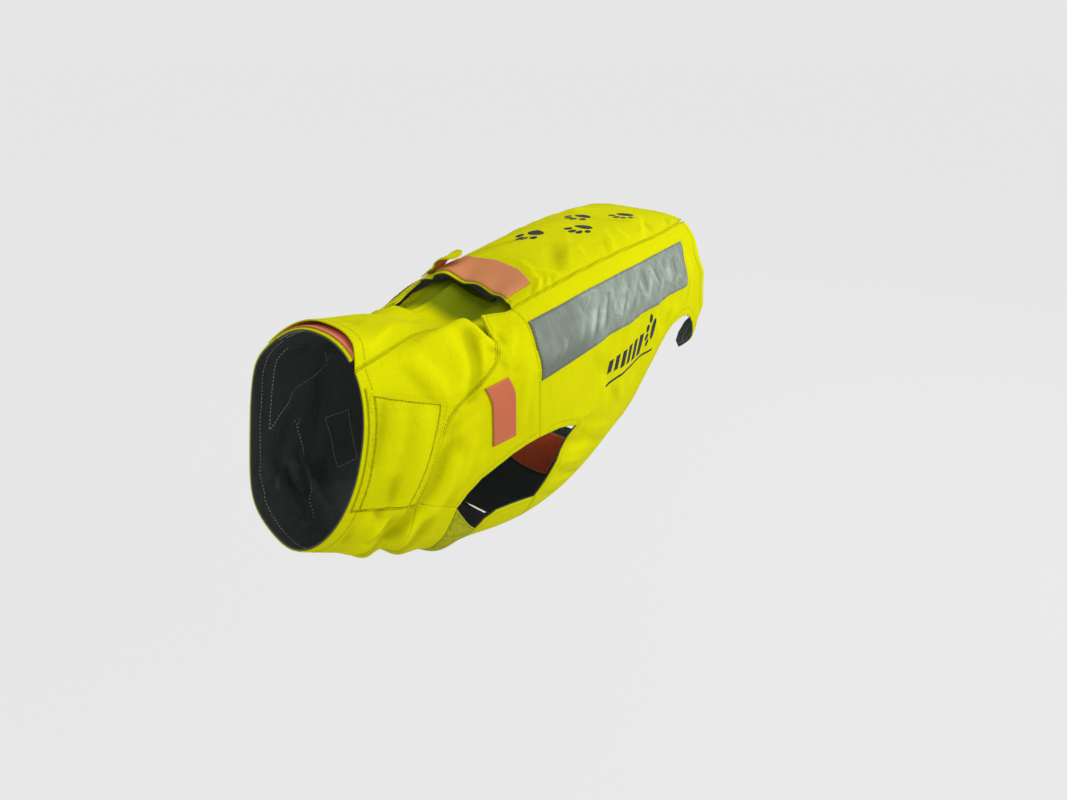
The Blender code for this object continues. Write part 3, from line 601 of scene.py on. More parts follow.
@dataclass
class Net:
    """The triangles of a panel, on the flat pattern and on the body."""
    pts: np.ndarray
    tris: np.ndarray
    rings: list
    outline: np.ndarray
    lay: Lay
    flip: bool = False
    shift: Shift | None = None
    point: np.ndarray | None = None
    normal: np.ndarray | None = None
    crease: np.ndarray | None = None

    @classmethod
    def fill(cls, outline: Line, loops: list, lay: Lay, step: float) -> "Net":
        """Fill an outline with even triangles, closer near its edges.

        Args:
            outline: the panel's outline.
            loops: closed lines that are kept as edges.
            lay: the layer that it lies on.
            step: spacing of the triangles.

        Returns:
            The net, not placed yet.
        """
        edge = shrink(flat(run(outline + outline[:1], step)[:-1]), TRIM)
        rings = [edge] + [flat(run(lp + lp[:1], step)[:-1]) for lp in loops]
        lo, hi = edge.min(0), edge.max(0)
        dy = step * math.sqrt(3) / 2
        rows = [(lo[0] + (step / 2 if k % 2 else 0) + i * step, lo[1] + dy * (k + 0.5))
                for k in range(int((hi[1] - lo[1]) / dy) + 1)
                for i in range(int((hi[0] - lo[0]) / step) + 1)]
        grid = np.array(rows)
        keep = inside(edge, grid)
        for r in rings:
            keep &= near(r, grid) > EDGE_CLEAR
        extra = [grid[keep]]
        for r in rings:
            for d in EDGE_ROWS:
                q = shrink(r, d)
                extra.append(q[inside(r, q) & (near(r, q) > d * 0.7) & inside(edge, q)])
        verts: list = []
        edges: list = []
        for r in rings:
            start = len(verts)
            verts += [tuple(p) for p in r]
            edges += [(start + i, start + (i + 1) % len(r)) for i in range(len(r))]
        verts += [tuple(p) for p in np.concatenate(extra)]
        res = delaunay_2d_cdt([Vector(v) for v in verts], edges, [], 0, 1e-7)
        pts = np.array([tuple(v) for v in res[0]])
        tris = np.array([f for f in res[2] if len(f) == 3])
        tris = tris[inside(edge, pts[tris].mean(1))]
        a, b, c = pts[tris[:, 0]], pts[tris[:, 1]], pts[tris[:, 2]]
        ab, ac = b - a, c - a
        turn = ab[:, 0] * ac[:, 1] - ac[:, 0] * ab[:, 1]
        tris = np.where((turn < 0)[:, None], tris[:, ::-1], tris)
        return cls(pts, tris, rings[1:], edge, lay)

    def put(self, flip: bool = False, shift: Shift | None = None) -> "Net":
        """Place the net on the body.

        Args:
            flip: whether it goes on the dog's right.
            shift: an extra height for each spot, or none.

        Returns:
            A placed copy.
        """
        y, c = self.pts[:, 0], self.pts[:, 1] / DEG
        extra = shift(y, c) if shift else np.zeros(len(y))
        p, n, small = BODY.place(y, -c if flip else c, self.lay)
        return Net(self.pts, self.tris, self.rings, self.outline, self.lay, flip, shift,
                   p + n * extra[:, None], n, small)

    def part(self, ring: np.ndarray) -> np.ndarray:
        """The triangles inside one of the kept loops."""
        return self.tris[inside(ring, self.pts[self.tris].mean(1))]


# ------------------------------------------------------------------------- finishes
def full(colour: tuple) -> tuple:
    """A colour that covers fully."""
    return (*colour, 1.0)


class Graph:
    """A node tree in the making."""

    def __init__(self, tree: bpy.types.NodeTree) -> None:
        """Start on a tree."""
        self.tree = tree

    def feed(self, node: bpy.types.Node, inputs: dict) -> bpy.types.Node:
        """Set or link a node's inputs.

        Args:
            node: the node.
            inputs: values or sockets by input name or number.

        Returns:
            The same node.
        """
        for key, value in inputs.items():
            if isinstance(value, bpy.types.NodeSocket):
                self.tree.links.new(value, node.inputs[key])
            else:
                node.inputs[key].default_value = value
        return node

    def add(self, kind: str, inputs: dict | None = None, **settings) -> bpy.types.Node:
        """Add a node.

        Args:
            kind: the node's type, without its ShaderNode prefix.
            inputs: values or sockets by input name or number.
            settings: properties of the node.

        Returns:
            The node.
        """
        node = self.tree.nodes.new("ShaderNode" + kind)
        for key, value in settings.items():
            setattr(node, key, value)
        return self.feed(node, inputs or {})

    def math(self, how: str, a: Value, b: Value = 0.0, c: Value = 0.0) -> bpy.types.NodeSocket:
        """One sum on numbers or sockets, as a socket."""
        return self.add("Math", {0: a, 1: b, 2: c}, operation=how).outputs[0]

    def times(self, a: Value, b: Value) -> bpy.types.NodeSocket:
        """A product, as a socket."""
        return self.math("MULTIPLY", a, b)

    def plus(self, a: Value, b: Value) -> bpy.types.NodeSocket:
        """A sum, as a socket."""
        return self.math("ADD", a, b)

    def less(self, a: Value, b: Value) -> bpy.types.NodeSocket:
        """A difference, as a socket."""
        return self.math("SUBTRACT", a, b)

    def ridge(self, x: Value, at: float, wide: float) -> bpy.types.NodeSocket:
        """A narrow ridge of height 1 where x has one value, as a socket."""
        return self.ramp(self.math("ABSOLUTE", self.less(x, at)), 0.0, wide, 1.0, 0.0)

    def ramp(self, x: Value, lo: float, hi: float, start: float = 0.0,
             end: float = 1.0) -> bpy.types.NodeSocket:
        """A soft step from one value to another, as a socket."""
        return self.add("MapRange", {0: x, 1: lo, 2: hi, 3: start, 4: end},
                        interpolation_type="SMOOTHSTEP").outputs[0]

    def mix(self, share: Value, a: Value | tuple, b: Value | tuple) -> bpy.types.NodeSocket:
        """A mix of two colours, as a socket."""
        return self.add("Mix", {0: share, 6: a, 7: b}, data_type="RGBA").outputs[2]

    def scaled(self, vector: Value, by: Value) -> bpy.types.NodeSocket:
        """A vector times a number, as a socket."""
        return self.add("VectorMath", {0: vector, 3: by}, operation="SCALE").outputs[0]

    def drawn_out(self, vector: Value, share: float, turn: float = 0.0) -> bpy.types.NodeSocket:
        """Coordinates on which patterns come out long, as a socket."""
        return self.add("Mapping", {"Vector": vector, "Rotation": (0, 0, turn),
                                    "Scale": (1.0, share, 1.0)}).outputs[0]

    def noise(self, vector: Value, scale: float, detail: float = 2.0, rough: float = 0.5,
              twist: float = 0.0) -> bpy.types.NodeSocket:
        """The value of a noise texture, as a socket."""
        return self.add("TexNoise", {"Vector": vector, "Scale": scale, "Detail": detail,
                                     "Roughness": rough, "Distortion": twist}).outputs["Fac"]


class Relief(Enum):
    """The shader groups that several finishes share."""
    WEAVE = "weave"
    CRUMPLE = "crumple"
    SEWING = "sewing"
    NAP = "nap"


class Groups:
    """Makes the shared shader groups, each with a height and a shade."""
    inputs: dict = {
        Relief.WEAVE: (("Vector", "Vector"), ("Pitch", "Float")),
        Relief.CRUMPLE: (("Vector", "Vector"), ("Scale", "Float")),
        Relief.SEWING: (("Seam", "Float"), ("Hem", "Float"), ("Vector", "Vector")),
        Relief.NAP: (("Vector", "Vector"), ("Grain", "Float"))}

    @classmethod
    def get(cls, kind: Relief) -> bpy.types.NodeTree:
        """A group, made the first time that it is asked for.

        Args:
            kind: which group.

        Returns:
            Its node tree.
        """
        old = bpy.data.node_groups.get(kind.value)
        if old:
            return old
        tree = bpy.data.node_groups.new(kind.value, "ShaderNodeTree")
        for label, sort in cls.inputs[kind]:
            tree.interface.new_socket(name=label, in_out="INPUT", socket_type="NodeSocket" + sort)
        for label in ("Height", "Shade"):
            tree.interface.new_socket(name=label, in_out="OUTPUT", socket_type="NodeSocketFloat")
        entry, leave = tree.nodes.new("NodeGroupInput"), tree.nodes.new("NodeGroupOutput")
        draw = {Relief.WEAVE: cls.weave, Relief.CRUMPLE: cls.crumple, Relief.SEWING: cls.sewing,
                Relief.NAP: cls.nap}[kind]
        graph = Graph(tree)
        height, shade = draw(graph, {s.name: s for s in entry.outputs})
        graph.feed(leave, {"Height": height, "Shade": shade})
        return tree

    @staticmethod
    def weave(g: Graph, i: dict) -> tuple:
        """Crossing threads of a plain cloth, uneven as real ones are.

        Args:
            g: the group's graph.
            i: its inputs by name.

        Returns:
            The sockets of height and shade.
        """
        xyz = g.add("SeparateXYZ", {0: i["Vector"]})
        turn = [g.times(g.math("DIVIDE", xyz.outputs[k], i["Pitch"]), math.tau) for k in (0, 1)]
        wobble = g.noise(i["Vector"], 260.0, 1.0)
        u = g.math("SINE", g.plus(turn[0], g.times(wobble, 1.6)))
        v = g.math("SINE", g.plus(turn[1], g.times(wobble, 1.3)))
        cross = g.math("MULTIPLY_ADD", u, 0.35, g.times(v, 0.65))
        slub = g.noise(g.drawn_out(i["Vector"], 0.12), 900.0, 1.0)
        return g.math("MULTIPLY_ADD", cross, 0.5, 0.5), g.plus(g.times(cross, 0.5), g.less(slub, 0.5))

    @staticmethod
    def crumple(g: Graph, i: dict) -> tuple:
        """Soft small wrinkles of worn cloth, with a patchy shade.

        Args:
            g: the group's graph.
            i: its inputs by name.

        Returns:
            The sockets of height and shade.
        """
        wide = g.scaled(i["Vector"], i["Scale"])
        soft_part = g.noise(wide, 34.0, 2.5, 0.5, 0.6)
        lines = g.noise(g.drawn_out(wide, 0.35, 0.5), 90.0, 2.0, 0.5, 0.4)
        sharp = g.less(1.0, g.math("ABSOLUTE", g.math("MULTIPLY_ADD", lines, 4.0, -2.0)))
        height = g.math("MULTIPLY_ADD", g.math("MAXIMUM", sharp, 0.0), 0.22, soft_part)
        return height, g.less(g.noise(i["Vector"], 11.0, 3.0), 0.5)

    @staticmethod
    def sewing(g: Graph, i: dict) -> tuple:
        """The grooves that seams and rows of stitches draw in the cloth, with painted shade in them.

        Args:
            g: the group's graph.
            i: its inputs by name.

        Returns:
            The sockets of height and shade.
        """
        # a seam: cloth rolls down to its edge and is drawn in by its stitches
        edge = g.ramp(i["Seam"], 0.0, 0.0011)
        row = g.ridge(i["Seam"], 0.0020, 0.0011)
        # a hem: doubled cloth as far as its stitches
        step = g.ramp(i["Hem"], 0.92, 1.06, 1.0, 0.0)
        line = g.ridge(i["Hem"], 0.93, 0.13)
        band = g.times(g.ramp(i["Hem"], 0.15, 0.9), step)
        gathered = g.math("MULTIPLY_ADD", band, 0.9, g.times(row, 0.8))
        pucker = g.times(g.less(g.noise(i["Vector"], 170.0, 1.0), 0.5), gathered)
        height = g.plus(g.times(edge, 0.35), g.times(step, 0.40))
        height = g.less(height, g.times(g.math("MAXIMUM", line, row), 0.55))
        # painted shade: darker at the seam's edge, along the hem's line of stitches and along the row, where
        # the cloth is drawn in
        shade = g.math("MULTIPLY_ADD", line, 0.20, g.times(row, 0.09))
        return g.plus(height, pucker), g.plus(g.times(g.less(1.0, edge), 0.10), shade)

    @staticmethod
    def nap(g: Graph, i: dict) -> tuple:
        """The tangle of loops, or the rows of hooks, of a closing strip.

        Args:
            g: the group's graph.
            i: its inputs by name.

        Returns:
            The sockets of height and shade.
        """
        v = g.scaled(i["Vector"], i["Grain"])
        dots = g.add("TexVoronoi", {"Vector": v, "Scale": 900.0}, feature="F1").outputs["Distance"]
        fuzz = g.noise(v, 620.0, 3.0, 0.7)
        tuft = g.noise(v, 210.0, 2.0, 0.6)
        shade = g.math("MULTIPLY_ADD", fuzz, 0.6, g.times(tuft, 0.6))
        return g.plus(g.times(dots, -0.6), fuzz), g.less(shade, 0.6)


@dataclass(frozen=True)
class Finish:
    """A material: its name, colours and surface."""
    name: str
    slot: str
    colour: tuple
    deep: tuple
    rough: float = 0.85
    metal: float = 0.0
    sheen: float = 0.0
    sheen_tint: tuple = (1.0, 1.0, 1.0)
    specular: float = 0.35
    specular_tint: tuple = (1.0, 1.0, 1.0)

    def begin(self) -> tuple[bpy.types.Material, Graph, bpy.types.Node]:
        """Start the material, with its even values set on the shader.

        Returns:
            The material, its graph and its shader.
        """
        mat = bpy.data.materials.new(self.name)
        mat.use_nodes = True
        graph = Graph(mat.node_tree)
        shader = graph.feed(mat.node_tree.nodes["Principled BSDF"], {
            "Roughness": self.rough, "Metallic": self.metal, "Specular IOR Level": self.specular,
            "Specular Tint": full(self.specular_tint), "Sheen Weight": self.sheen,
            "Sheen Tint": full(self.sheen_tint)})
        return mat, graph, shader

    @staticmethod
    def cloth_map(g: Graph) -> bpy.types.NodeSocket:
        """Coordinates along the cloth, in metres."""
        return g.add("UVMap", uv_map="cloth").outputs[0]

    @staticmethod
    def marks(g: Graph, *names: str) -> dict:
        """The sockets of some of the cloth's attributes, by name."""
        return {n: g.add("Attribute", attribute_name=n).outputs["Fac"] for n in names}

    def paint(self, g: Graph, share: Value) -> bpy.types.NodeSocket:
        """The cloth's colour, deeper where the share is high."""
        return g.mix(share, full(self.colour), full(self.deep))

    @staticmethod
    def group(g: Graph, kind: Relief, **inputs: Value) -> bpy.types.Node:
        """Add one of the shared groups.

        Args:
            g: the material's graph.
            kind: which group.
            inputs: values or sockets by input name.

        Returns:
            The group's node.
        """
        node = g.tree.nodes.new("ShaderNodeGroup")
        node.node_tree = Groups.get(kind)
        return g.feed(node, inputs)

    @staticmethod
    def bump(g: Graph, shader: bpy.types.Node, layers: list) -> None:
        """Stack heights into the normal.

        Args:
            g: the material's graph.
            shader: its shader.
            layers: rows of a height and its depth in metres.
        """
        last = None
        for height, depth in layers:
            node = g.add("Bump", {"Height": height, "Strength": 1.0, "Distance": depth})
            if last is not None:
                g.tree.links.new(last, node.inputs["Normal"])
            last = node.outputs[0]
        g.tree.links.new(last, shader.inputs["Normal"])

    def material(self) -> bpy.types.Material:
        """The finished material, made once."""
        old = bpy.data.materials.get(self.name)
        return old if old else self.make()

    def make(self) -> bpy.types.Material:
        """Build the material."""
        raise NotImplementedError


@dataclass(frozen=True)
class ClothFinish(Finish):
    """Woven cloth with wrinkles, seams, hems and a little wear, with painted shade in its crease troughs,
    seam grooves and the hollow between collar and back, and painted light on its crease ridges.
    """
    pitch: float = 0.0016
    weave_deep: float = 0.00012
    weave_shade: float = 0.10
    crumple_deep: float = 0.0015
    crumple_scale: float = 1.0
    patchy: float = 0.27
    relief_shade: float = 0.5
    sew_deep: float = 0.0009
    sew_shade: float = 1.0
    facing: tuple | None = None
    # colour of the painted shade in the hollow between collar and back, and how much of it is laid on
    hollow: tuple = (0.10, 0.155, 0.006)
    hollow_share: float = 0.86

    def make(self) -> bpy.types.Material:
        """Build the cloth.

        Returns:
            The material.
        """
        mat, g, shader = self.begin()
        uv = self.cloth_map(g)
        attr = self.marks(g, "seam", "hem", "relief", "hollow")
        weave = self.group(g, Relief.WEAVE, Vector=uv, Pitch=self.pitch).outputs
        crumple = self.group(g, Relief.CRUMPLE, Vector=uv, Scale=self.crumple_scale).outputs
        sewing = self.group(g, Relief.SEWING, Seam=attr["seam"], Hem=attr["hem"], Vector=uv).outputs
        dark = g.plus(g.times(weave["Shade"], self.weave_shade), g.times(sewing["Shade"], self.sew_shade))
        dark = g.plus(dark, g.times(crumple["Shade"], self.patchy))
        # painted shade and light: the creases' height darkens their troughs and lightens their ridges
        dark = g.less(dark, g.times(attr["relief"], self.relief_shade))
        cloth = self.paint(g, g.ramp(g.plus(dark, 0.30), 0.0, 1.0))
        if self.facing:
            # the outer cloth is turned in at the hem
            cloth = g.mix(g.ramp(attr["hem"], 0.97, 1.0, 1.0, 0.0), cloth, full(self.facing))
        # painted shade: the colour is darkened in the deep hollow between collar and back, where shade falls
        cloth = g.mix(g.times(attr["hollow"], self.hollow_share), cloth, full(self.hollow))
        rough = g.ramp(crumple["Shade"], -0.3, 0.3, self.rough - 0.06, min(1.0, self.rough + 0.06))
        g.feed(shader, {"Base Color": cloth, "Roughness": rough})
        self.bump(g, shader, [(crumple["Height"], self.crumple_deep), (sewing["Height"], self.sew_deep),
                              (weave["Height"], self.weave_deep)])
        return mat


@dataclass(frozen=True)
class TapeFinish(Finish):
    """Retroreflective tape: a grey silvery skin with fine ripples."""
    # turn and scale of the thin ridges that cross each other
    ridge_ways: tuple = ((0.80, 34.0), (-0.55, 26.0))

    def ridges(self, g: Graph, uv: bpy.types.NodeSocket) -> bpy.types.NodeSocket:
        """Thin sharp ridges that cross each other.

        Args:
            g: the material's graph.
            uv: coordinates along the tape.

        Returns:
            The socket of their height.
        """
        lines = []
        for turn, scale in self.ridge_ways:
            lean = g.add("VectorRotate", {"Vector": uv, "Angle": turn}, rotation_type="Z_AXIS").outputs[0]
            lines.append(g.ridge(g.noise(g.drawn_out(lean, 0.13), scale, 1.0, 0.4), 0.5, 0.045))
        return g.math("MAXIMUM", *lines)

    def make(self) -> bpy.types.Material:
        """Build the tape, smoother and darker on its front third.

        Returns:
            The material.
        """
        mat, g, shader = self.begin()
        uv = self.cloth_map(g)
        attr = self.marks(g, "seam", "relief")
        crumple = self.group(g, Relief.CRUMPLE, Vector=uv, Scale=1.6).outputs
        sewing = self.group(g, Relief.SEWING, Seam=attr["seam"], Hem=2.0, Vector=uv).outputs
        bead = g.noise(uv, 1500.0, 1.0)
        fine = g.noise(g.drawn_out(uv, 0.18), 150.0, 2.0, 0.6)
        station = g.add("SeparateXYZ", {0: uv}).outputs[0]
        ridges = g.times(self.ridges(g, uv), g.ramp(station, -0.035, 0.010, 0.12, 1.0))
        dark = g.plus(g.times(g.less(fine, 0.5), 0.5), sewing["Shade"])
        # painted highlight: the raised ridges are drawn lighter as well
        dark = g.less(dark, g.times(ridges, 0.12))
        dark = g.plus(dark, g.ramp(station, -0.060, 0.020, 0.62, 0.12))
        dark = g.plus(dark, g.times(g.less(bead, 0.5), 0.12))
        # painted shade and light: the ripples darker in their troughs, lighter on their ridges
        dark = g.less(dark, g.times(attr["relief"], 0.9))
        g.feed(shader, {"Base Color": self.paint(g, g.ramp(g.plus(dark, 0.45), 0.0, 1.0)),
                        "Roughness": g.ramp(fine, 0.3, 0.7, self.rough - 0.05, self.rough + 0.06)})
        self.bump(g, shader, [(crumple["Height"], 0.0006), (ridges, 0.00028), (fine, 0.0004),
                              (sewing["Height"], 0.0004)])
        return mat


@dataclass(frozen=True)
class StripFinish(Finish):
    """A closing strip of hooks or loops, with a plain sewn border."""
    grain: float = 1.0
    deep_nap: float = 0.0004
    spread: float = 0.5
    border: tuple = (0.7, 0.25, 0.12)
    border_wide: float = 0.0028

    def make(self) -> bpy.types.Material:
        """Build the strip.

        Returns:
            The material.
        """
        mat, g, shader = self.begin()
        uv = self.cloth_map(g)
        seam = self.marks(g, "seam")["seam"]
        nap = self.group(g, Relief.NAP, Vector=uv, Grain=self.grain).outputs
        inner = g.ramp(seam, self.border_wide - 0.0004, self.border_wide + 0.0004)
        dark = g.plus(g.times(nap["Shade"], self.spread), 0.42)
        dark = g.plus(dark, g.times(g.less(g.noise(uv, 55.0, 2.0), 0.5), 0.5))
        rim = g.mix(g.ramp(seam, 0.0, 0.0007, 0.6, 0.0), full(self.border), full(self.deep))
        g.feed(shader, {"Base Color": g.mix(inner, rim, self.paint(g, g.ramp(dark, 0.0, 1.0)))})
        height = g.plus(g.times(nap["Height"], inner), g.times(inner, 0.8))
        self.bump(g, shader, [(height, self.deep_nap)])
        return mat


@dataclass(frozen=True)
class PlainFinish(Finish):
    """Thread or ink: one colour with a fine fibre grain."""
    grain: float = 1400.0
    spread: float = 0.5

    def make(self) -> bpy.types.Material:
        """Build the finish on object coordinates.

        Returns:
            The material.
        """
        mat, g, shader = self.begin()
        spot = g.add("TexCoord").outputs["Object"]
        fibre = g.noise(spot, self.grain, 2.0, 0.6)
        dark = g.math("MULTIPLY_ADD", fibre, self.spread, g.times(g.noise(spot, 60.0, 2.0), 0.5))
        g.feed(shader, {"Base Color": self.paint(g, g.ramp(dark, 0.1, 0.9))})
        self.bump(g, shader, [(fibre, 0.0001)])
        return mat


# painted light: the yellow is a little lighter than the cloth's own, standing in for more light on it
YELLOW = ClothFinish(
    "hi_vis_cloth", "vest_cloth", (0.72, 0.72, 0.002), (0.43, 0.43, 0.002), rough=0.85,
    weave_shade=0.07, relief_shade=0.38, weave_deep=0.00010, specular=0.025,
    specular_tint=(1.0, 1.0, 0.05))
# painted shade: the pocket's stitched grooves take a much stronger painted shade than the rest of the cloth
POCKET_CLOTH = ClothFinish(
    "pocket_cloth", "vest_cloth", (0.68, 0.69, 0.002), (0.40, 0.40, 0.002), rough=0.85, pitch=0.0019,
    weave_shade=0.10, weave_deep=0.00014, sew_shade=2.4, sew_deep=0.0026, specular=0.025,
    specular_tint=(1.0, 1.0, 0.05))
# painted light: both linings are coloured lighter than the lining cloth's own near-black grey, standing in
# for light in the vest's shaded inside
DARK = ClothFinish(
    "dark_lining", "lining", (0.056, 0.070, 0.068), (0.022, 0.028, 0.027), rough=0.55, pitch=0.0009,
    weave_deep=0.00005, crumple_deep=0.0026, crumple_scale=0.8, relief_shade=0.3, specular=0.45)
FACED = ClothFinish(
    "faced_lining", "lining", (0.085, 0.100, 0.095), (0.040, 0.048, 0.045), rough=0.6, pitch=0.0009,
    crumple_deep=0.0020, relief_shade=0.3, specular=0.1, facing=(0.66, 0.67, 0.002))
CRINKLED = ClothFinish(
    "crinkled_gusset", "gusset_cloth", (0.50, 0.52, 0.012), (0.20, 0.21, 0.008), rough=0.8,
    crumple_deep=0.0045, crumple_scale=2.4, patchy=0.5, weave_shade=0.2, specular=0.05)
SILVER = TapeFinish(
    "silver_tape", "reflective_tape", (0.36, 0.42, 0.36), (0.155, 0.185, 0.15), rough=0.50,
    metal=0.25, specular=0.25)
HOOKS = StripFinish(
    "hook_strip", "hook_strip", (0.60, 0.098, 0.032), (0.40, 0.060, 0.020), rough=0.8,
    specular=0.06, grain=0.9, border=(0.66, 0.20, 0.12), spread=0.35)
# painted light: the same hook tape as HOOKS, coloured far brighter to stand in for light that doesn't reach
# inside the vest
BELLY_HOOKS_PAINTED_LIGHT = StripFinish(
    "belly_hook_strip", "hook_strip", (0.95, 0.16, 0.06), (0.70, 0.11, 0.04), rough=0.8,
    specular=0.05, grain=0.9, border=(0.8, 0.26, 0.16), spread=0.35)
CORAL = StripFinish(
    "coral_band", "hook_strip", (0.80, 0.19, 0.11), (0.60, 0.12, 0.07), rough=0.7,
    grain=0.9, border=(0.8, 0.22, 0.14), spread=0.35)
LOOPS = StripFinish(
    "loop_strip", "loop_strip", (0.64, 0.240, 0.058), (0.38, 0.115, 0.028), rough=0.95, grain=0.62,
    deep_nap=0.0011, spread=1.35, border=(0.62, 0.26, 0.06), sheen=0.12,
    sheen_tint=(1.0, 0.7, 0.5), specular=0.1)
YELLOW_THREAD = PlainFinish(
    "yellow_thread", "vest_cloth", (0.60, 0.60, 0.008), (0.40, 0.40, 0.006), rough=0.8, specular=0.05)
PALE_THREAD = PlainFinish("pale_thread", "lining", (0.72, 0.76, 0.56), (0.46, 0.50, 0.34), rough=0.7)
CORAL_THREAD = PlainFinish("coral_thread", "hook_strip", (0.85, 0.42, 0.30), (0.62, 0.24, 0.16), rough=0.7)
GREY_THREAD = PlainFinish("grey_thread", "reflective_tape", (0.16, 0.18, 0.14), (0.09, 0.10, 0.08), rough=0.7)
INK = PlainFinish(
    "black_print", "vest_cloth", (0.016, 0.019, 0.018), (0.010, 0.011, 0.010), rough=0.6, spread=0.7)


# ----------------------------------------------------------------------- the tailor
class Tailor:
    """Cuts cloth over nets."""

    @staticmethod
    def mesh(name: str, points: np.ndarray, faces: np.ndarray, finish: Finish) -> bpy.types.Object:
        """A mesh piece that rides on the vest.

        Args:
            name: the piece's name.
            points: its vertices.
            faces: its faces.
            finish: its material.

        Returns:
            The object.
        """
        mesh = bpy.data.meshes.new(name)
        mesh.from_pydata(points.tolist(), [], faces.tolist())
        mesh.update()
        mesh.materials.append(finish.material())
        mesh.shade_smooth()
        obj = bpy.data.objects.new(name, mesh)
        bpy.context.scene.collection.objects.link(obj)
        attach(obj, "root")
        log.info("%s: %d triangles", name, len(faces))
        return obj

    @staticmethod
    def sheet(node: str, net: Net, tris: np.ndarray, high: float, thick: float, finish: Finish,
              border: list, held: str = "stretched", rests_on: tuple = (),
              inward: bool = False) -> bpy.types.Object:
        """One cut piece of cloth over a net, in place of its plain solid.

        Args:
            node: the solid that it replaces.
            net: the placed net.
            tris: the net's triangles that it takes.
            high: height of its outer face.
            thick: thickness of the cloth.
            finish: its material.
            border: its edges.
            held: how the sheet is held.
            rests_on: the names of what it lies on; not used.
            inward: whether its finished face looks into the vest.

        Returns:
            The object.
        """
        used = np.unique(tris)
        index = np.full(len(net.pts), -1)
        index[used] = np.arange(len(used))
        pts = net.pts[used]
        seam, hem, rim = Tailor.edges(pts, border)
        # the outer face rolls down a little towards the piece's edge
        roll = np.where((seam <= rim + 2e-4) & (held != "laid"), 0.10, 0.28)
        drop = (0.0 if inward else 1.0) * roll * thick * (1 - smooth(0.0, 0.0019, rim)) ** 1.5
        top = net.point[used] + net.normal[used] * (high - drop)[:, None]
        faces = index[tris]
        # a net on the left runs the other way round from one on the right
        faces = faces[:, ::-1] if not net.flip else faces
        obj = Tailor.mesh(node + "_cloth", top, faces, finish)
        mesh = obj.data
        # painted shade: marks the trough between collar and back on the collar's layers, where the finish
        # darkens the colour
        around = np.abs(pts[:, 1] / DEG)
        hollow = smooth(-0.111, -0.090, pts[:, 0]) * (1 - smooth(31, 42, around))
        hollow = hollow * (net.lay in (Lay.COLLAR, Lay.FLAP, Lay.INNER_FLAP))
        # relief is the creases' height, which the finishes paint as shade in the troughs and light on the
        # ridges
        for label, values in (("seam", seam), ("hem", hem), ("hollow", hollow),
                              ("relief", np.clip(net.crease[used] / CREASE, -1, 1))):
            mark = mesh.attributes.new(label, "FLOAT", "POINT")
            mark.data.foreach_set("value", values.astype(np.float32))
        layer = mesh.uv_layers.new(name="cloth")
        corner = np.empty(len(mesh.loops), dtype=np.int32)
        mesh.loops.foreach_get("vertex_index", corner)
        layer.data.foreach_set("uv", pts[corner].astype(np.float32).ravel())
        Tailor.wall(obj, thick, 1 - drop / thick)
        a, b, c = (top[faces[:, k]] for k in range(3))
        area = float(0.5 * np.linalg.norm(np.cross(b - a, c - a), axis=1).sum())
        size = Tailor.cut_size(net, pts, area)
        log.info("%s: cut %.0f x %.0f mm, %.4f square metres", obj.name, size[0] * 1000, size[1] * 1000, area)
        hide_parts(node)
        return obj

    @staticmethod
    def edges(pts: np.ndarray, border: list) -> tuple:
        """Distances from a piece's points to its edges.

        Args:
            pts: points on the flat pattern.
            border: the piece's edges.

        Returns:
            The distance to the nearest seam, the share of the nearest hem's width
            and the distance to the nearest edge of any kind.
        """
        seam, hem, rim = np.full(len(pts), FAR), np.full(len(pts), NO_HEM), np.full(len(pts), FAR)
        for edge in border:
            d = near(flat(list(edge.line)), pts, closed=False)
            rim = np.minimum(rim, d)
            if edge.join is Join.HEM:
                hem = np.minimum(hem, d / edge.wide)
            elif edge.join is Join.SEAM:
                seam = np.minimum(seam, d)
        return seam, hem, rim

    @staticmethod
    def wall(obj: bpy.types.Object, thick: float, share: np.ndarray) -> None:
        """Give a sheet its thickness.

        Args:
            obj: the sheet.
            thick: its thickness.
            share: how much of it each point keeps.
        """
        group = obj.vertex_groups.new(name="wall")
        steps = np.round(share, 2)
        for level in np.unique(steps):
            group.add([int(k) for k in np.nonzero(steps == level)[0]], float(level), "REPLACE")
        wall = obj.modifiers.new("wall", "SOLIDIFY")
        wall.thickness, wall.offset, wall.use_rim = thick, -1.0, True
        wall.vertex_group = "wall"

    @staticmethod
    def cut_size(net: Net, pts: np.ndarray, area: float) -> tuple[float, float]:
        """Width and length of the cut that a piece's area goes with.

        Args:
            net: the placed net.
            pts: the piece's points on the flat pattern.
            area: its area.

        Returns:
            Width and length in metres.
        """
        wide, long = Tailor.extent(net, pts)
        fullest, leanest = 0.98 * wide * long, 0.32 * wide * long
        grow = math.sqrt(area / leanest) if area < leanest else math.sqrt(max(1.0, area / fullest))
        return wide * grow, long * grow

    @staticmethod
    def extent(net: Net, pts: np.ndarray) -> tuple[float, float]:
        """Width round the body and length along it of a piece, measured on its cloth.

        Args:
            net: the placed net.
            pts: the piece's points on the flat pattern.

        Returns:
            Width and length in metres.
        """
        lo, hi = pts.min(0), pts.max(0)
        ys = np.linspace(lo[0], hi[0], 24)
        cs = np.linspace(lo[1], hi[1], 24) / DEG
        yy, cc = np.meshgrid(ys, cs, indexing="ij")
        p = BODY.place(yy, -cc if net.flip else cc, net.lay)[0]
        # how much of each row and column the piece covers
        spots = np.stack([yy.ravel(), cc.ravel() * DEG], -1)
        hit = (np.linalg.norm(spots[:, None] - pts[None, ::7], axis=2).min(1) < 0.012).reshape(yy.shape)
        across = np.linalg.norm(np.diff(p, axis=1), axis=2) * (hit[:, 1:] & hit[:, :-1])
        down = np.linalg.norm(np.diff(p, axis=0), axis=2) * (hit[1:] & hit[:-1])
        return max(0.012, float(across.sum(1).max())), max(0.012, float(down.sum(0).max()))


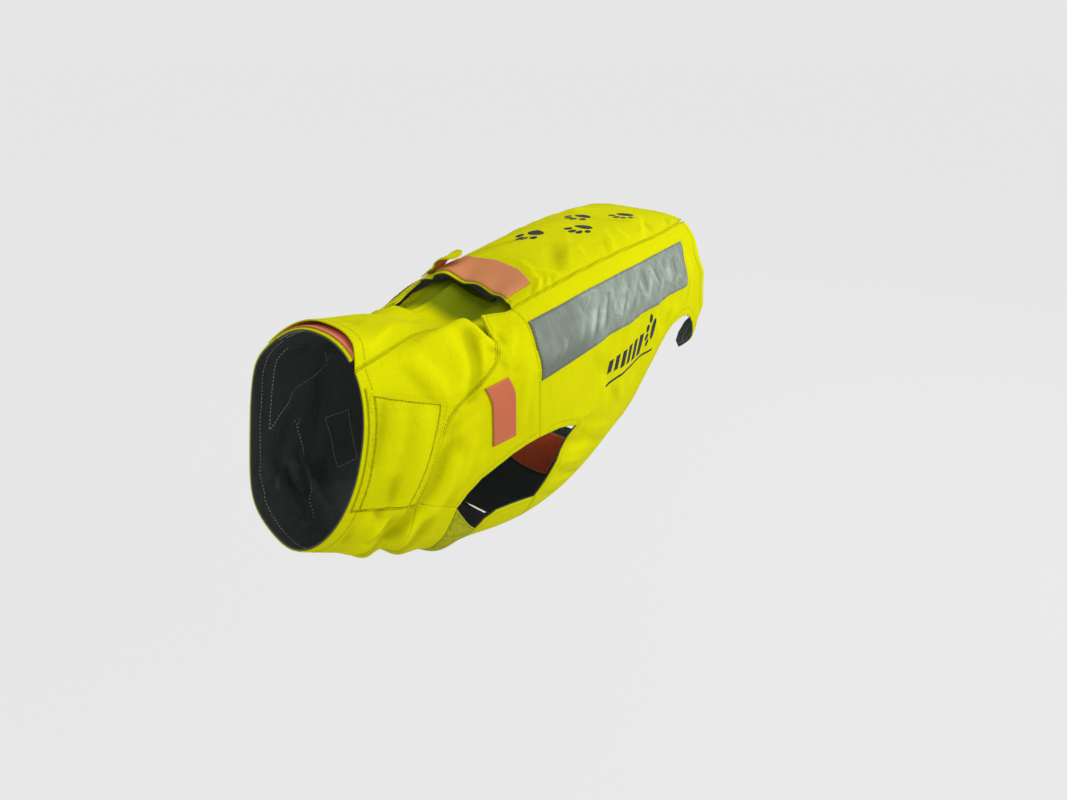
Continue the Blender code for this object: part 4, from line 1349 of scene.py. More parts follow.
@dataclass
class Thread:
    """Rows of stitches in one thread, gathered into one piece."""
    name: str
    finish: Finish
    pitch: float = 0.0032       # from stitch to stitch
    long: float = 0.0023        # length of a stitch
    points: list = field(default_factory=list)
    faces: list = field(default_factory=list)
    count: int = 0

    @staticmethod
    def shape() -> tuple[np.ndarray, np.ndarray]:
        """Shape one stitch, a small round bead.

        Returns:
            Its points and triangles.
        """
        bm = bmesh.new()
        bmesh.ops.create_icosphere(bm, subdivisions=1, radius=1.0)
        pts = np.array([tuple(v.co) for v in bm.verts])
        tris = np.array([[v.index for v in f.verts] for f in bm.faces])
        bm.free()
        return pts, tris

    def row(self, line: Line, lay: Lay, high: float, flip: bool = False, thick: float = 0.00050,
            inward: bool = False, shift: Shift | None = None) -> None:
        """Sew one row.

        Args:
            line: the row's line on the pattern.
            lay: the layer that it is sewn on.
            high: height of the face that it lies on.
            flip: whether it is on the dog's right.
            thick: thickness of the thread.
            inward: whether it is on the inside.
            shift: an extra height for each spot, or none.
        """
        if len(line) < 2:
            return
        p = np.array(run(line, 0.002))
        spot, normal, _ = BODY.place(p[:, 0], -p[:, 1] if flip else p[:, 1], lay)
        extra = shift(p[:, 0], p[:, 1]) if shift else np.zeros(len(p))
        spot = spot + normal * (high + extra)[:, None]
        normal = -normal if inward else normal
        t = np.r_[0, np.cumsum(np.linalg.norm(np.diff(spot, axis=0), axis=1))]
        n = int(t[-1] / self.pitch)
        if n < 1:
            return
        at = (np.arange(n) + 0.5) * t[-1] / n
        centre = np.stack([np.interp(at, t, spot[:, k]) for k in range(3)], -1)
        nor = np.stack([np.interp(at, t, normal[:, k]) for k in range(3)], -1)
        ahead = np.stack([np.interp(at + 0.0006, t, spot[:, k]) - np.interp(at - 0.0006, t, spot[:, k])
                          for k in range(3)], -1)
        ahead /= np.linalg.norm(ahead, axis=1, keepdims=True)
        nor /= np.linalg.norm(nor, axis=1, keepdims=True)
        side = np.cross(nor, ahead)
        bead, tris = self.shape()
        local = bead * np.array([self.long / 2, thick / 2, thick / 2])
        pts = (centre[:, None] + ahead[:, None] * local[None, :, :1] + side[:, None] * local[None, :, 1:2]
               + nor[:, None] * (local[None, :, 2:] + thick * 0.16))
        self.points.append(pts.reshape(-1, 3))
        faces = tris[None] + (np.arange(n) * len(bead))[:, None, None] + self.count
        self.faces.append(faces.reshape(-1, 3))
        self.count += n * len(bead)

    def sew(self) -> bpy.types.Object:
        """Make one piece of all the rows."""
        return Tailor.mesh(self.name, np.concatenate(self.points), np.concatenate(self.faces), self.finish)


OUTER = Thread("yellow_stitches", YELLOW_THREAD)
INNER = Thread("lining_stitches", PALE_THREAD)
STRIPS = Thread("strip_stitches", CORAL_THREAD)
TAPES = Thread("tape_stitches", GREY_THREAD)


# ------------------------------------------------------------------ the sub-assemblies
@dataclass
class Lines:
    """Seam lines that neighbouring panels share."""
    step: float = 0.0028
    back_seam: list = field(default_factory=lambda: [
        (-0.086, 36), (-0.061, 36.8), (-0.024, 39), (0.018, 40), (0.067, 41),
        (0.126, 41.8), (0.186, 41.3), (0.223, 39.5), (0.266, 37)])
    front_seam: Line = field(default_factory=lambda: soft(
        [(-0.083, 36.0), (-0.083, 49), (-0.088, 67), (-0.090, 90), (-0.082, 104.5)], 11))
    collar_seam: Line = field(default_factory=lambda: soft(
        [(-0.121, 50), (-0.129, 61), (-0.150, 71), (-0.179, 82.5), (-0.187, 93), (-0.191, 105),
         (-0.194, 118)], 13))
    collar_low: Line = field(default_factory=lambda: soft(
        [(-0.194, 118), (-0.192, 135), (-0.190, 158), (-0.189, 180)], 8))
    leg_top_l: Line = field(default_factory=lambda: soft(
        [(-0.082, 104.5), (-0.105, 105.8), (-0.124, 109), (-0.142, 113.5), (-0.150, 118.5),
         (-0.154, 124)], 7))
    leg_top_r: Line = field(default_factory=lambda: soft(
        [(-0.082, 104.5), (-0.098, 105.8), (-0.110, 109), (-0.122, 113.5), (-0.128, 118.5),
         (-0.131, 124)], 7))
    leg_rear_l: Line = field(default_factory=lambda: [(-0.054, 124), (-0.044, 113), (-0.034, 109)] + soft(
        [(-0.025, 106.5), (-0.050, 104.6), (-0.082, 104.5)], 5)[:-1])
    leg_rear_r: Line = field(default_factory=lambda: [(-0.057, 127), (-0.054, 114)] + soft(
        [(-0.046, 107.5), (-0.060, 105), (-0.082, 104.5)], 4)[:-1])
    leg_low_l: Line = field(default_factory=lambda: soft(
        [(-0.117, 143), (-0.113, 133), (-0.088, 130.5), (-0.062, 131.5)], 6))
    leg_low_r: Line = field(default_factory=lambda: soft(
        [(-0.117, 145), (-0.112, 141), (-0.088, 140), (-0.062, 139)], 6))
    rear_hem: Line = field(default_factory=lambda: soft(
        [(REAR, 38), (0.256, 50), (0.250, 62), (0.248, 76), (0.257, 88), (0.273, 96), (0.287, 104),
         (0.294, 113), (0.292, 121), (0.284, 125)], 16))
    arch: Line = field(default_factory=lambda: soft(
        [(0.284, 125), (0.272, 117), (0.261, 109), (0.249, 103.5), (0.230, 99.5), (0.206, 98.5), (0.182, 99),
         (0.164, 101.5), (0.148, 108), (0.133, 114.5), (0.123, 126), (0.118, 144), (0.116, 166), (0.116, 182),
         (0.116, 194)], 27))

    def back_at(self, y: float) -> float:
        """Angle of the seam between back panel and flank at a station."""
        return float(along(self.back_seam, np.array(y))[..., 0])

    def top_edge(self) -> Line:
        """The seam between back panel and flank, from front to rear."""
        return [(float(y), self.back_at(float(y))) for y in np.linspace(-0.083, 0.246, 21)]

    def cut(self, tail: str, net: Net, outline: Line, border: list, names: tuple, finishes: tuple,
            rests_on: tuple, inner_border: list | None = None, slack: Shift | None = None) -> None:
        """Cut a panel and its lining over a placed net, and sew their rows of stitches.

        Args:
            tail: the side's ending of their names.
            net: the placed net.
            outline: the panel's outline.
            border: its edges.
            names: the solids' names without their side, the panel's and its lining's.
            finishes: the cloth of the panel and of the lining.
            rests_on: the names of what the panel hangs from.
            inner_border: the lining's own edges, or none where they are the panel's.
            slack: how the lining stands off the cloth, or none.
        """
        whole = Edge.raw(outline + outline[:1])
        Tailor.sheet(names[0] + tail, net, net.tris, 0.0, CLOTH, finishes[0], border + [whole],
                     rests_on=rests_on)
        if names[1]:
            loose = net.put(net.flip, slack) if slack else net
            Tailor.sheet(names[1] + tail, loose, net.tris, UNDER, LINING, finishes[1],
                         (border if inner_border is None else inner_border) + [whole],
                         rests_on=(names[0] + tail,), inward=True)
        for e in border:
            for d in e.rows:
                row = beside(list(e.line), d, net.outline)
                OUTER.row(row, net.lay, 0.0, net.flip, shift=net.shift)
                if names[1] and e.join is Join.HEM:
                    INNER.row(row, net.lay, INNER_FACE, net.flip, thick=0.0006, inward=True, shift=net.shift)

    def panel(self, node: str, outline: Line, lay: Lay, border: list, lining: str = "", patches: tuple = (),
              tail: str = "", flip: bool = False, finish: Finish = YELLOW, rests_on: tuple = (),
              slack: Shift | None = None) -> None:
        """Make one panel with its lining, its stitches and its patches.

        Args:
            node: the solid's name, without its side.
            outline: its outline.
            lay: the layer that it lies on.
            border: its edges.
            lining: name of its lining's solid, or none.
            patches: the patches sewn on it.
            tail: the side's ending of its name.
            flip: whether the piece is on the dog's right.
            finish: its cloth.
            rests_on: the names of what it hangs from.
            slack: how the lining stands off the cloth, or none.
        """
        net = Net.fill(outline, [p.loop for p in patches], lay, self.step).put(flip)
        self.cut(tail, net, outline, border, (node, lining), (finish, DARK), rests_on, slack=slack)
        for patch, ring in zip(patches, net.rings):
            # the loop patch on the rim has no twin on the other side
            side = "" if patch.name == "collar_loop_patch" else tail
            self.patch(patch, ring, net, side, node + tail)

    def patch(self, patch: Patch, ring: np.ndarray, net: Net, tail: str, base: str) -> None:
        """Cut and sew one patch.

        Args:
            patch: the patch.
            ring: its outline in the net.
            net: the placed net that it is cut from.
            tail: the end of its name.
            base: the solid that it is sewn on.
        """
        finish, thread = PATCH_FINISH[patch.name]
        loop = patch.loop + patch.loop[:1]
        border = list(patch.edges) or [Edge.seam(loop, *patch.rows)]
        inner = patch.high < 0
        Tailor.sheet(patch.name + tail, net, net.part(ring), patch.high + patch.thick, patch.thick, finish,
                     border + [Edge.raw(loop)], held="laid", rests_on=(base,))
        for e in border:
            for d in e.rows:
                row = beside(list(e.line), d, ring)
                thread.row(row, net.lay, patch.high + (0 if inner else patch.thick), net.flip, inward=inner,
                           shift=net.shift)


PATCH_FINISH = {
    "back_loop_patch": (LOOPS, STRIPS), "collar_loop_patch": (LOOPS, STRIPS),
    "pocket": (POCKET_CLOTH, OUTER), "reflective_tape": (SILVER, TAPES),
    "belly_hook_patch": (BELLY_HOOKS_PAINTED_LIGHT, STRIPS), "shoulder_hook_patch": (HOOKS, STRIPS),
    "collar_hook_band": (CORAL, STRIPS), "tab_hook_patch": (HOOKS, STRIPS)}


@dataclass
class BackPart:
    """The back panel, its lining and its loop patch."""
    lines: Lines
    loop: Line = field(default_factory=lambda: [
        (-0.0535, -29), (-0.0545, -14), (-0.0550, 0), (-0.0615, 10), (-0.0690, 20), (-0.0730, 27),
        (-0.038, 28), (-0.024, 14), (-0.018, 0), (-0.019, -14), (-0.020, -29)])

    def build(self) -> None:
        """Cut and sew the back."""
        side_l = self.lines.top_edge() + [(0.255, 36.3), (REAR, 35.5)]
        side_r = [(y, -f) for y, f in side_l if y > -0.052]
        side_r = [(float(BODY.hem_y(-36)), -self.lines.back_at(-0.058))] + side_r
        hem = [(float(BODY.hem_y(f)), float(f)) for f in np.linspace(-36, 36, 15)]
        rear = [(REAR, float(f)) for f in (24, 12, 0, -12, -24)]
        outline = hem[1:-1] + side_l + rear + side_r[::-1]
        border = [Edge.seam(side_l, SEAM_ROW), Edge.seam(side_r, SEAM_ROW),
                  Edge.hem(hem[1:-1], 0.0035, 0.0030),
                  Edge.hem([side_l[-1]] + rear + [side_r[-1]], 0.010, 0.0092)]
        self.lines.panel("back_panel", outline, Lay.BACK, border, "back_lining",
                         (Patch("back_loop_patch", tuple(self.loop), GAP, STRIP),),
                         rests_on=("flank_left", "flank_right"))


@dataclass
class FlankPart:
    """Both flanks with their tapes, and the patch that closes the belly."""
    lines: Lines
    tape: Line = field(default_factory=lambda: [
        (-0.0800, 49), (-0.030, 52), (0.036, 54), (0.113, 55.3), (0.213, 54), (0.206, 72), (0.204, 89.4),
        (0.110, 89.5), (0.029, 89.3), (-0.039, 89.3), (-0.0870, 89.8), (-0.0850, 67)])
    close: Line = field(default_factory=lambda: [(0.036, 158), (0.100, 158), (0.100, 188), (0.036, 188)])
    end: float = 194.0      # angle at which the flanks overlap below
    front: float = -0.055   # station of their front edge below

    @staticmethod
    def under_lap(y: np.ndarray, c: np.ndarray) -> np.ndarray:
        """The right flank's closing edge lies inside the left one."""
        return -0.0042 * smooth(148, 161, c)

    def side(self, tail: str, flip: bool, low: float, rear: Line, shift: Shift | None) -> None:
        """One flank.

        Args:
            tail: the end of its pieces' names.
            flip: whether it is the dog's right one.
            low: angle at which the leg hole's edge starts.
            rear: the rear edge of the leg hole.
            shift: an extra height for each spot, or none.
        """
        ln, at = self.lines, self.front
        top = ln.top_edge()
        arch = [p for p in ln.arch if p[1] < self.end - 6]
        close = run([(0.116, self.end), (at, self.end)], 0.024)
        front = [(at, 180.0), (at, 164.0), (-0.057, 148.0), (-0.062, low)]
        outline = (top + ln.rear_hem[:-1] + arch + close[:-1] + [(at, self.end)] + front + rear
                   + ln.front_seam[::-1][:-1])
        border = [Edge.seam(top + [ln.rear_hem[0]]), Edge.raw(ln.front_seam, SEAM_ROW),
                  Edge.hem(ln.rear_hem, 0.0095, 0.0088), Edge.hem(arch, 0.0062, 0.0056),
                  Edge.hem([(-0.062, low)] + rear, *LEG_HEM),
                  Edge.seam([(at, self.end)] + front, SEAM_ROW), Edge.hem(close, 0.0062, 0.0056)]
        facing = [Edge.hem(((-0.083, 36.0), (-0.084, 50.0)), 0.020),
                  Edge.hem(((-0.083, 36.0), (-0.040, 38.2)), 0.016)]
        net = Net.fill(outline, [self.tape, self.close], Lay.BODY, ln.step).put(flip, shift)
        ln.cut(tail, net, outline, border, ("flank", "flank_lining"), (YELLOW, FACED), ("shoulder" + tail,),
               facing)
        ln.patch(Patch("reflective_tape", tuple(self.tape), GAP, TAPE, rows=(0.0016,)), net.rings[0], net,
                 tail, "flank" + tail)
        if flip:
            ln.patch(Patch("belly_hook_patch", tuple(self.close), INNER_FACE - GAP - STRIP, STRIP),
                     net.rings[1], net, "", "flank_lining" + tail)

    def build(self) -> None:
        """Cut and sew both flanks."""
        self.side("_left", False, 131.5, self.lines.leg_rear_l, None)
        self.side("_right", True, 139.0, self.lines.leg_rear_r, self.under_lap)


@dataclass
class ShoulderPart:
    """Both shoulders with their hook patches."""
    lines: Lines
    hook: Line = field(default_factory=lambda: [(-0.149, 76), (-0.124, 76), (-0.113, 100.5), (-0.136, 101.6)])

    def build(self) -> None:
        """Cut and sew both shoulders."""
        ln = self.lines
        top = [(-0.083, 36.0), (-0.090, 35.0), (-0.100, 31.5), (-0.111, 29.0), (-0.1150, 34.0),
               (-0.1195, 42.0)]
        for tail, flip, leg, mid in (("_left", False, ln.leg_top_l, -0.174),
                                     ("_right", True, ln.leg_top_r, -0.162)):
            low = [(-0.194, 118.0), (mid, 121.0)] + leg[::-1][:1]
            outline = top[1:] + ln.collar_seam[:-1] + low[:-1] + leg[::-1][:-1] + ln.front_seam[::-1]
            border = [Edge.hem(top, 0.0035, 0.0030), Edge.seam(ln.collar_seam[:9]),
                      Edge.raw(ln.collar_seam[8:] + low), Edge.hem(leg, *LEG_HEM),
                      Edge.raw(ln.front_seam)]
            net = Net.fill(outline, [self.hook], Lay.BODY, ln.step).put(flip)
            ln.cut(tail, net, outline, border, ("shoulder", "shoulder_lining"), (YELLOW, FACED),
                   ("collar_side" + tail,), [Edge.hem(top, 0.024)])
            ln.patch(Patch("shoulder_hook_patch", tuple(self.hook), GAP, STRIP), net.rings[0], net, tail,
                     "shoulder" + tail)


@dataclass
class CollarPart:
    """The collar: its sides, pockets and the two flaps that close it on top."""
    lines: Lines
    pocket_l: Line = field(default_factory=lambda: [
        (-0.2515, 52), (-0.184, 73), (-0.190, 93), (-0.1975, 118), (-0.2515, 115), (-0.2515, 84)])
    pocket_r: Line = field(default_factory=lambda: [
        (-0.2225, 60), (-0.184, 73), (-0.190, 93), (-0.1975, 118), (-0.2225, 116.5), (-0.2225, 88)])
    rim_loop: Line = field(default_factory=lambda: [
        (-0.2505, 62), (-0.2270, 62), (-0.2270, 90), (-0.2505, 90)])
    # folds of the loose lining, which stand inward
    loose: list = field(default_factory=lambda: [Fold(*row) for row in (
        (-0.238, 96, -0.200, 87, 0.0070, -0.0032), (-0.238, 104, -0.206, 142, 0.0075, -0.0024),
        (-0.222, 101, -0.176, 134, 0.0065, -0.0022), (-0.192, 122, -0.150, 150, 0.0090, -0.0026),
        (-0.230, 136, -0.198, 166, 0.0075, -0.0022), (-0.212, 152, -0.160, 176, 0.0085, -0.0024),
        (-0.176, 60, -0.140, 96, 0.0085, -0.0030), (-0.206, 52, -0.180, 76, 0.0070, -0.0022))])
    # what is sewn on the lining of the right side, and on that of the left
    lining_rows: tuple = (
        (True, ((-0.237, 94.5), (-0.235, 88.7), (-0.232, 79.4), (-0.233, 66.0), (-0.229, 54.0))),
        (True, ((-0.237, 94.5), (-0.221, 90.0), (-0.203, 86.4), (-0.167, 84.6))),
        (True, ((-0.204, 97.0), (-0.202, 101.0), (-0.202, 113.0), (-0.205, 128.0), (-0.207, 138.0))),
        (True, ((-0.206, 95.0), (-0.203, 97.5), (-0.200, 95.0))),
        (True, ((-0.171, 97.4), (-0.144, 97.4), (-0.144, 113.0), (-0.167, 115.0), (-0.171, 97.4))),
        (True, ((-0.173, 77.0), (-0.168, 84.0), (-0.162, 82.0))),
        (False, ((-0.232, 58.0), (-0.230, 76.0), (-0.234, 98.0))),
        (False, ((-0.204, 97.0), (-0.202, 113.0), (-0.207, 134.0))))

    band: Line = field(default_factory=lambda: [
        (NECK + 0.0035, 32), (-0.226, 24), (-0.226, -32), (NECK + 0.0035, -38)])
    # on the right the tuck runs on a little further under the shoulder
    left_tuck: Line = field(default_factory=lambda: [
        (-0.040, 20), (-0.042, 29), (-0.060, 34), (-0.088, 36.5), (-0.106, 36.5), (-0.1207, 42)])
    right_tuck: Line = field(default_factory=lambda: [
        (-0.040, 20), (-0.0415, 33), (-0.050, 41), (-0.070, 43), (-0.106, 43), (-0.1207, 42)])

    def slack(self, y: np.ndarray, c: np.ndarray) -> np.ndarray:
        """How far the loose lining stands off the cloth, never outward.

        Args:
            y: stations.
            c: angles, in degrees.

        Returns:
            One height to a spot.
        """
        total = sum(fold.rise(y, c, 0.3) for fold in self.loose)
        # held at the rim, at the seams and where it meets its other half below
        held = smooth(NECK + 0.008, NECK + 0.020, y) * (1 - smooth(172, 179, c))
        return total * held * smooth(44, 56, c) * (1 - smooth(-0.150, -0.128, y))

    @staticmethod
    def v_line() -> Line:
        """The seam between the sides and the flaps, from the neck back."""
        return [(float(y), float(BODY.collar_v(y))) for y in np.linspace(NECK, -0.040, 17)]

    @staticmethod
    def pocket(p: Line, flip: bool) -> Patch:
        """A pocket with its double band at the rear.

        Args:
            p: its outline.
            flip: whether it is on the dog's right, where it ends behind the loop patch.

        Returns:
            The patch to sew on.
        """
        edges = [Edge.hem((p[0], p[1]), 0.0080, 0.0073),
                 Edge.hem((p[1], p[2], p[3]), 0.0085, 0.0077, 0.0018),
                 Edge.seam((p[3], p[4]), SEAM_ROW),
                 Edge.seam((p[4], p[5], p[0]), SEAM_ROW) if flip
                 else Edge.hem(((NECK, 50.0), (NECK, 118.0)), 0.0098)]
        return Patch("pocket", tuple(p), GAP, STRIP, tuple(edges))

    def sides(self) -> None:
        """Cut and sew the sides with their pockets."""
        ln = self.lines
        v_line = self.v_line()
        neck = [(NECK, float(f)) for f in np.linspace(41, 180, 14)]
        neck[0] = v_line[0]
        border = [Edge.seam(v_line, SEAM_ROW), Edge.hem(neck, *NECK_HEM),
                  Edge.seam([self.left_tuck[-1]] + ln.collar_seam[:9], SEAM_ROW),
                  Edge.raw(ln.collar_seam[8:]), Edge.raw(ln.collar_low)]
        rim_loop = Patch("collar_loop_patch", tuple(self.rim_loop), GAP, STRIP)
        for tail, flip, tuck, sewn in (
                ("_left", False, self.left_tuck, (self.pocket(self.pocket_l, False),)),
                ("_right", True, self.right_tuck, (self.pocket(self.pocket_r, True), rim_loop))):
            outline = v_line + tuck + ln.collar_seam[:-1] + ln.collar_low + neck[::-1][:-1]
            ln.panel("collar_side", outline, Lay.COLLAR, border, "collar_lining", sewn, tail, flip,
                     rests_on=("bib",), slack=self.slack)
        for flip, row in self.lining_rows:
            INNER.row(list(row), Lay.COLLAR, INNER_FACE, flip, thick=0.0008, inward=True, shift=self.slack)

    def flaps(self) -> None:
        """Cut and sew the flaps."""
        ln = self.lines
        v_line = self.v_line()
        hidden = [(y, f - 7.0) for y, f in v_line[::-1]]
        neck = [(NECK, float(f)) for f in (26, 18, 9, 0, -9, -18, -27, -34)]
        outline = [(y, -f) for y, f in v_line] + [(-0.040, 0.0)] + hidden + neck
        border = [Edge.seam(tuple((y, -f) for y, f in v_line), SEAM_ROW),
                  Edge.hem([hidden[-1]] + neck + [(NECK, -41.0)], 0.0098, 0.0091, 0.0022)]
        ln.panel("collar_flap_inner", outline, Lay.INNER_FLAP, border, "collar_flap_inner_lining",
                 (Patch("collar_hook_band", tuple(self.band), GAP, BAND),), rests_on=("collar_side_right",))
        lip = NECK + 0.0105
        edge = [(float(y), -float(BODY.collar_v(y)) - 6.0 - 12.0 * float(1 - smooth(NECK, -0.15, y)))
                for y in np.linspace(v_line[-2][0], lip, 16)]
        front = [(lip, float(f)) for f in (-50, -40, -30, -20, -10, 0, 8)]
        front += [(NECK + 0.0098, 15.0), (NECK + 0.0078, 22.0), (NECK + 0.0052, 29.0), (NECK + 0.0024, 36.0)]
        outline = v_line[:-1] + [(v_line[-2][0], 0.0)] + edge + front
        border = [Edge.seam(v_line[:-1]), Edge.hem(edge, 0.0080, 0.0073),
                  Edge.hem(front + v_line[:1], *NECK_HEM)]
        ln.panel("collar_flap_outer", outline, Lay.FLAP, border,
                 rests_on=("collar_side_left", "collar_flap_inner"))

    def build(self) -> None:
        """Cut and sew the collar."""
        self.sides()
        self.flaps()


@dataclass
class ChestPart:
    """Bib, chest gusset and belly panel, across the underside."""
    lines: Lines

    @staticmethod
    def across(points: Line) -> Line:
        """A line's mirror image over the underside."""
        return [(y, 360 - f) for y, f in points[::-1]]

    def build(self) -> None:
        """Cut and sew the three pieces."""
        ln = self.lines
        low = ln.collar_low[::-1]
        bib_l = low[1:] + [(-0.174, 121), (-0.154, 124), (-0.150, 140), (-0.149, 160)]
        bib_r = low[1:] + [(-0.162, 121), (-0.131, 124), (-0.137, 140), (-0.146, 160)]
        outline = bib_l + [(-0.149, 180)] + self.across(bib_r) + [(-0.189, 180)]
        ln.panel("bib", outline, Lay.BODY, [], "bib_lining",
                 rests_on=("collar_side_left", "collar_side_right"))
        gus_l = [(-0.149, 160), (-0.150, 140), (-0.154, 124), (-0.141, 131), (-0.128, 138), (-0.117, 143),
                 (-0.117, 160)]
        gus_r = [(-0.146, 160), (-0.137, 140), (-0.131, 124), (-0.127, 131), (-0.122, 138), (-0.117, 145),
                 (-0.117, 160)]
        outline = [(-0.149, 180)] + gus_l + [(-0.117, 180)] + self.across(gus_r)
        ln.panel("chest_gusset", outline, Lay.BODY, [Edge.seam(outline + outline[:1])], finish=CRINKLED,
                 rests_on=("bib", "belly_panel"))
        bel_l = [(-0.117, 160)] + ln.leg_low_l + [(-0.057, 148), (-0.055, 164)]
        bel_r = [(-0.117, 160)] + ln.leg_low_r + [(-0.057, 148), (-0.055, 164)]
        outline = [(-0.117, 180)] + bel_l + [(-0.055, 180)] + self.across(bel_r)
        border = [Edge.hem(ln.leg_low_l, *LEG_HEM),
                  Edge.hem(self.across(ln.leg_low_r), *LEG_HEM),
                  Edge.seam(((-0.117, 143), (-0.117, 215)), SEAM_ROW),
                  Edge.seam(((-0.062, 131.5), (-0.057, 148), (-0.055, 180), (-0.057, 212), (-0.062, 221)))]
        ln.panel("belly_panel", outline, Lay.BODY, border, "belly_lining",
                 rests_on=("flank_left", "flank_right"))


@dataclass
class TabPart:
    """The tab that closes the back, with the hook patch under it."""
    lines: Lines
    hook: Line = field(default_factory=lambda: [
        (-0.0490, -36), (-0.0490, -18), (-0.0270, -18), (-0.0270, -36)])

    def build(self) -> None:
        """Cut and sew the tab."""
        line = soft([(-0.0515, -41), (-0.0515, -22), (-0.0495, -16.5), (-0.0435, -14.5), (-0.0325, -14.5),
                     (-0.0265, -16.5), (-0.0245, -22), (-0.0245, -41)], 25)
        self.lines.panel("closing_tab", line, Lay.TAB, [Edge.seam(line, 0.0030)],
                         patches=(Patch("tab_hook_patch", tuple(self.hook), UNDER - BAND, BAND),),
                         rests_on=("back_panel",))


@dataclass
class PrintPart:
    """Plain black prints: paw marks on the back, slanted bars and a paw on each flank."""
    lines: Lines
    # station, angle, half size in metres and turn in degrees
    steps: tuple = ((0.058, -7.5, 0.0200, 12.0), (0.104, 7.5, 0.0200, -8.0), (0.152, -7.0, 0.0200, 10.0),
                    (0.198, 8.0, 0.0200, -12.0))
    mark: tuple = (0.119, 95.4, 0.0122, 0.0)
    # a paw's pad and toes: place, half sizes and turn, in shares of its half size
    pads: tuple = ((0.42, 0.0, 0.40, 0.56, 0.0), (-0.28, 0.62, 0.27, 0.19, -24.0),
                   (-0.62, 0.22, 0.30, 0.20, -8.0), (-0.62, -0.22, 0.30, 0.20, 8.0),
                   (-0.28, -0.62, 0.27, 0.19, 24.0))
    corners: int = 18       # of an oval
    thick: float = 0.00012

    @staticmethod
    def oval(y: float, w: float, long: float, wide: float, turn: float) -> Line:
        """Draw an oval on the flat pattern.

        Args:
            y: station of its middle.
            w: the middle's distance from the back's midline, in metres.
            long: half size along it, in metres.
            wide: half size across it, in metres.
            turn: turn in degrees.

        Returns:
            Its outline.
        """
        out = []
        for k in range(PrintPart.corners):
            a = math.tau * k / PrintPart.corners
            p, q = PrintPart.spun(long * math.cos(a), wide * math.sin(a), turn)
            out.append((y + p, (w + q) / DEG))
        return out

    @staticmethod
    def spun(p: float, q: float, turn: float) -> tuple[float, float]:
        """Turn a step on the flat pattern by some degrees."""
        t = math.radians(turn)
        return p * math.cos(t) - q * math.sin(t), p * math.sin(t) + q * math.cos(t)

    def paw(self, y: float, c: float, size: float, turn: float) -> list:
        """Draw one paw mark: a broad pad and four toes.

        Args:
            y: station of its middle.
            c: the middle's angle, in degrees.
            size: half its size, in metres.
            turn: turn in degrees.

        Returns:
            Five outlines.
        """
        out = []
        for p, q, long, wide, lean in self.pads:
            dy, dw = self.spun(p * size, q * size, turn)
            out.append(self.oval(y + dy, c * DEG + dw, long * size, wide * size, turn + lean))
        return out

    @staticmethod
    def bars() -> list:
        """Draw slanted bars that grow towards the paw, with a line under them.

        Returns:
            Their outlines.
        """
        out = []
        for k in range(6):
            y, middle, half = 0.026 + 0.0132 * k, 96.4 + 0.25 * k, 1.5 + 0.31 * k
            top, low = middle - half, middle + half
            out.append([(y + 0.0030, top), (y + 0.0112, top), (y + 0.0082, low), (y, low)])
        out.append([(0.022, 100.2), (0.132, 102.4), (0.132, 103.2), (0.024, 101.0)])
        return out

    def ink(self, name: str, loops: list, lay: Lay, flip: bool) -> None:
        """Print some outlines on the cloth.

        Args:
            name: the piece's name.
            loops: the outlines.
            lay: the layer that they are on.
            flip: whether they are on the dog's right.
        """
        points, faces, count = [], [], 0
        for loop in loops:
            net = Net.fill(loop, [], lay, self.lines.step).put(flip)
            points.append(net.point + net.normal * self.thick)
            tris = net.tris if net.flip else net.tris[:, ::-1]
            faces.append(tris + count)
            count += len(net.point)
        Tailor.mesh(name, np.concatenate(points), np.concatenate(faces), INK)

    def build(self) -> None:
        """Print the back and both flanks."""
        self.ink("back_print", [loop for row in self.steps for loop in self.paw(*row)], Lay.BACK, False)
        for tail, flip in (("_left", False), ("_right", True)):
            self.ink("flank_print" + tail, self.bars() + self.paw(*self.mark), Lay.BODY, flip)


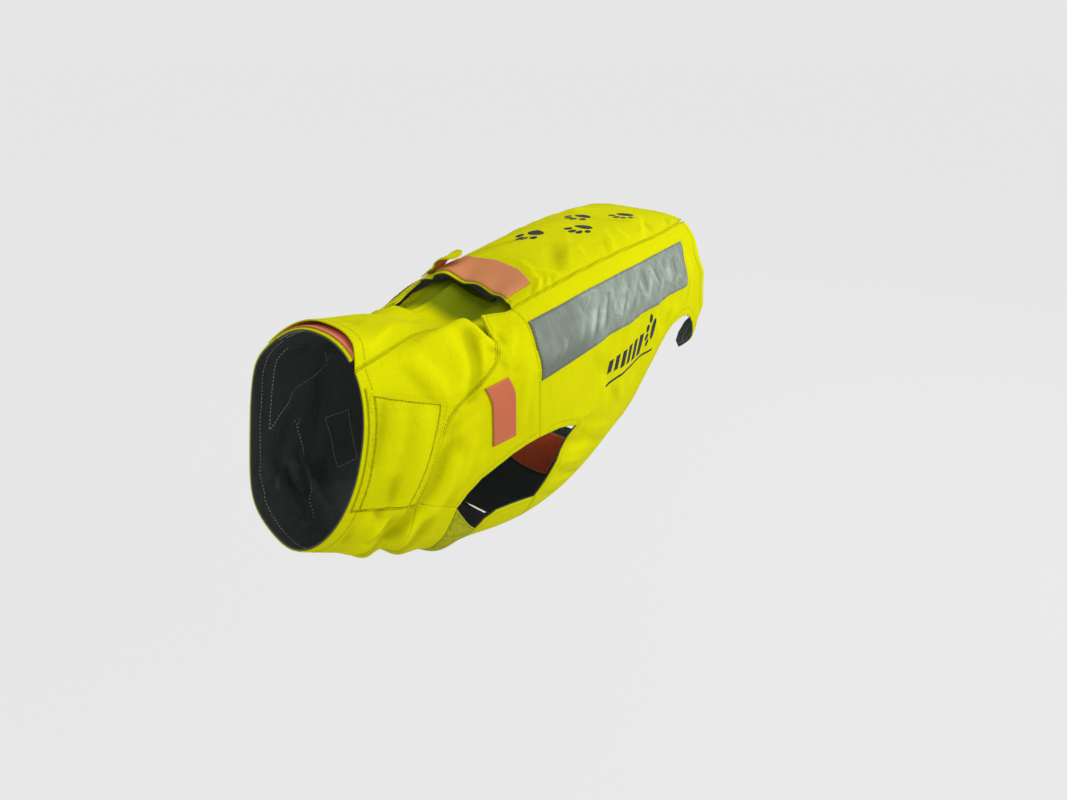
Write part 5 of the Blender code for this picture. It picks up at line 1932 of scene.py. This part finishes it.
@dataclass
class Studio:
    """The pale floor, the soft lights and the camera."""
    eye: tuple = (0.363, -0.4545, 0.182)
    azimuth: float = 36.2
    elevation: float = 31.0
    lens: float = 20.24
    pale: float = 0.791         # how bright the ground looks
    floor_z: float = -0.62
    floor_less: float = 0.035   # what the floor's own grey adds
    around: float = 0.52        # light on the vest from the world and from the floor
    from_below: float = 0.62
    lamps: tuple = (("key_lamp", (1.6, 0.75, 0.8), 1.3, 23.0), ("top_lamp", (0.3, 0.7, 2.0), 1.3, 11.0),
                    ("fill_lamp", (0.1, -1.8, 0.3), 1.2, 3.0))

    @staticmethod
    def light(name: str, spot: tuple, size: float, power: float) -> None:
        """A large soft lamp that looks at the vest.

        Args:
            name: the lamp's name.
            spot: where it stands.
            size: its side, in metres.
            power: its power in watts.
        """
        data = bpy.data.lights.new(name, "AREA")
        data.shape, data.size, data.energy = "SQUARE", size, power
        lamp = bpy.data.objects.new(name, data)
        lamp.location = spot
        lamp.rotation_euler = (Vector((0, 0, -0.10)) - Vector(spot)).to_track_quat("-Z", "Y").to_euler()
        bpy.context.scene.collection.objects.link(lamp)

    @staticmethod
    def glow(tree: bpy.types.NodeTree, seen: float, cast: float) -> bpy.types.NodeSocket:
        """A strength that differs between what the camera sees and what lights the vest.

        Args:
            tree: the tree to add it to.
            seen: the strength for the camera.
            cast: the strength for everything else.

        Returns:
            The socket of the strength.
        """
        graph = Graph(tree)
        camera_ray = graph.add("LightPath").outputs["Is Camera Ray"]
        return graph.math("MULTIPLY_ADD", camera_ray, seen - cast, cast)

    def floor(self) -> None:
        """The pale floor, far under the vest."""
        bm = bmesh.new()
        bmesh.ops.create_circle(bm, cap_ends=True, segments=96, radius=30.0,
                                matrix=Matrix.Translation((0, 0, self.floor_z)))
        mesh = bpy.data.meshes.new("studio_floor")
        bm.to_mesh(mesh)
        bm.free()
        mat = bpy.data.materials.new("studio_floor")
        mat.use_nodes = True
        Graph(mat.node_tree).feed(mat.node_tree.nodes["Principled BSDF"], {
            "Base Color": (0.06, 0.06, 0.06, 1), "Roughness": 1.0, "Specular IOR Level": 0.0,
            "Emission Color": (1, 1, 1, 1),
            "Emission Strength": self.glow(mat.node_tree, self.pale - self.floor_less, self.from_below)})
        mesh.materials.append(mat)
        floor = bpy.data.objects.new("studio_floor", mesh)
        bpy.context.scene.collection.objects.link(floor)

    def build(self) -> None:
        """Set up the floor, world, lamps and camera."""
        self.floor()
        world = bpy.data.worlds.new("studio")
        bpy.context.scene.world = world
        world.use_nodes = True
        Graph(world.node_tree).feed(world.node_tree.nodes["Background"], {
            "Color": (1, 1, 1, 1), "Strength": self.glow(world.node_tree, self.pale, self.around)})
        for lamp in self.lamps:
            self.light(*lamp)
        bpy.context.scene.view_settings.view_transform = "Standard"
        data = bpy.data.cameras.new("photo_view")
        data.sensor_width, data.lens = 36.0, self.lens
        data.clip_start, data.clip_end = 0.01, 200.0
        camera = bpy.data.objects.new("photo_view", data)
        camera.location = self.eye
        camera.rotation_euler = (math.radians(90 - self.elevation), 0, math.radians(self.azimuth))
        bpy.context.scene.collection.objects.link(camera)
        bpy.context.scene.camera = camera


def main() -> None:
    """Build every sub-assembly in order."""
    logging.basicConfig(level=logging.INFO, format="%(message)s")
    Studio().build()
    lines = Lines()
    for maker in (CollarPart, ShoulderPart, FlankPart, ChestPart, BackPart, TabPart, PrintPart):
        maker(lines).build()
        log.info("%s done", maker.__name__)
    for thread in (OUTER, INNER, STRIPS, TAPES):
        thread.sew()


if __name__ == "__main__":
    main()
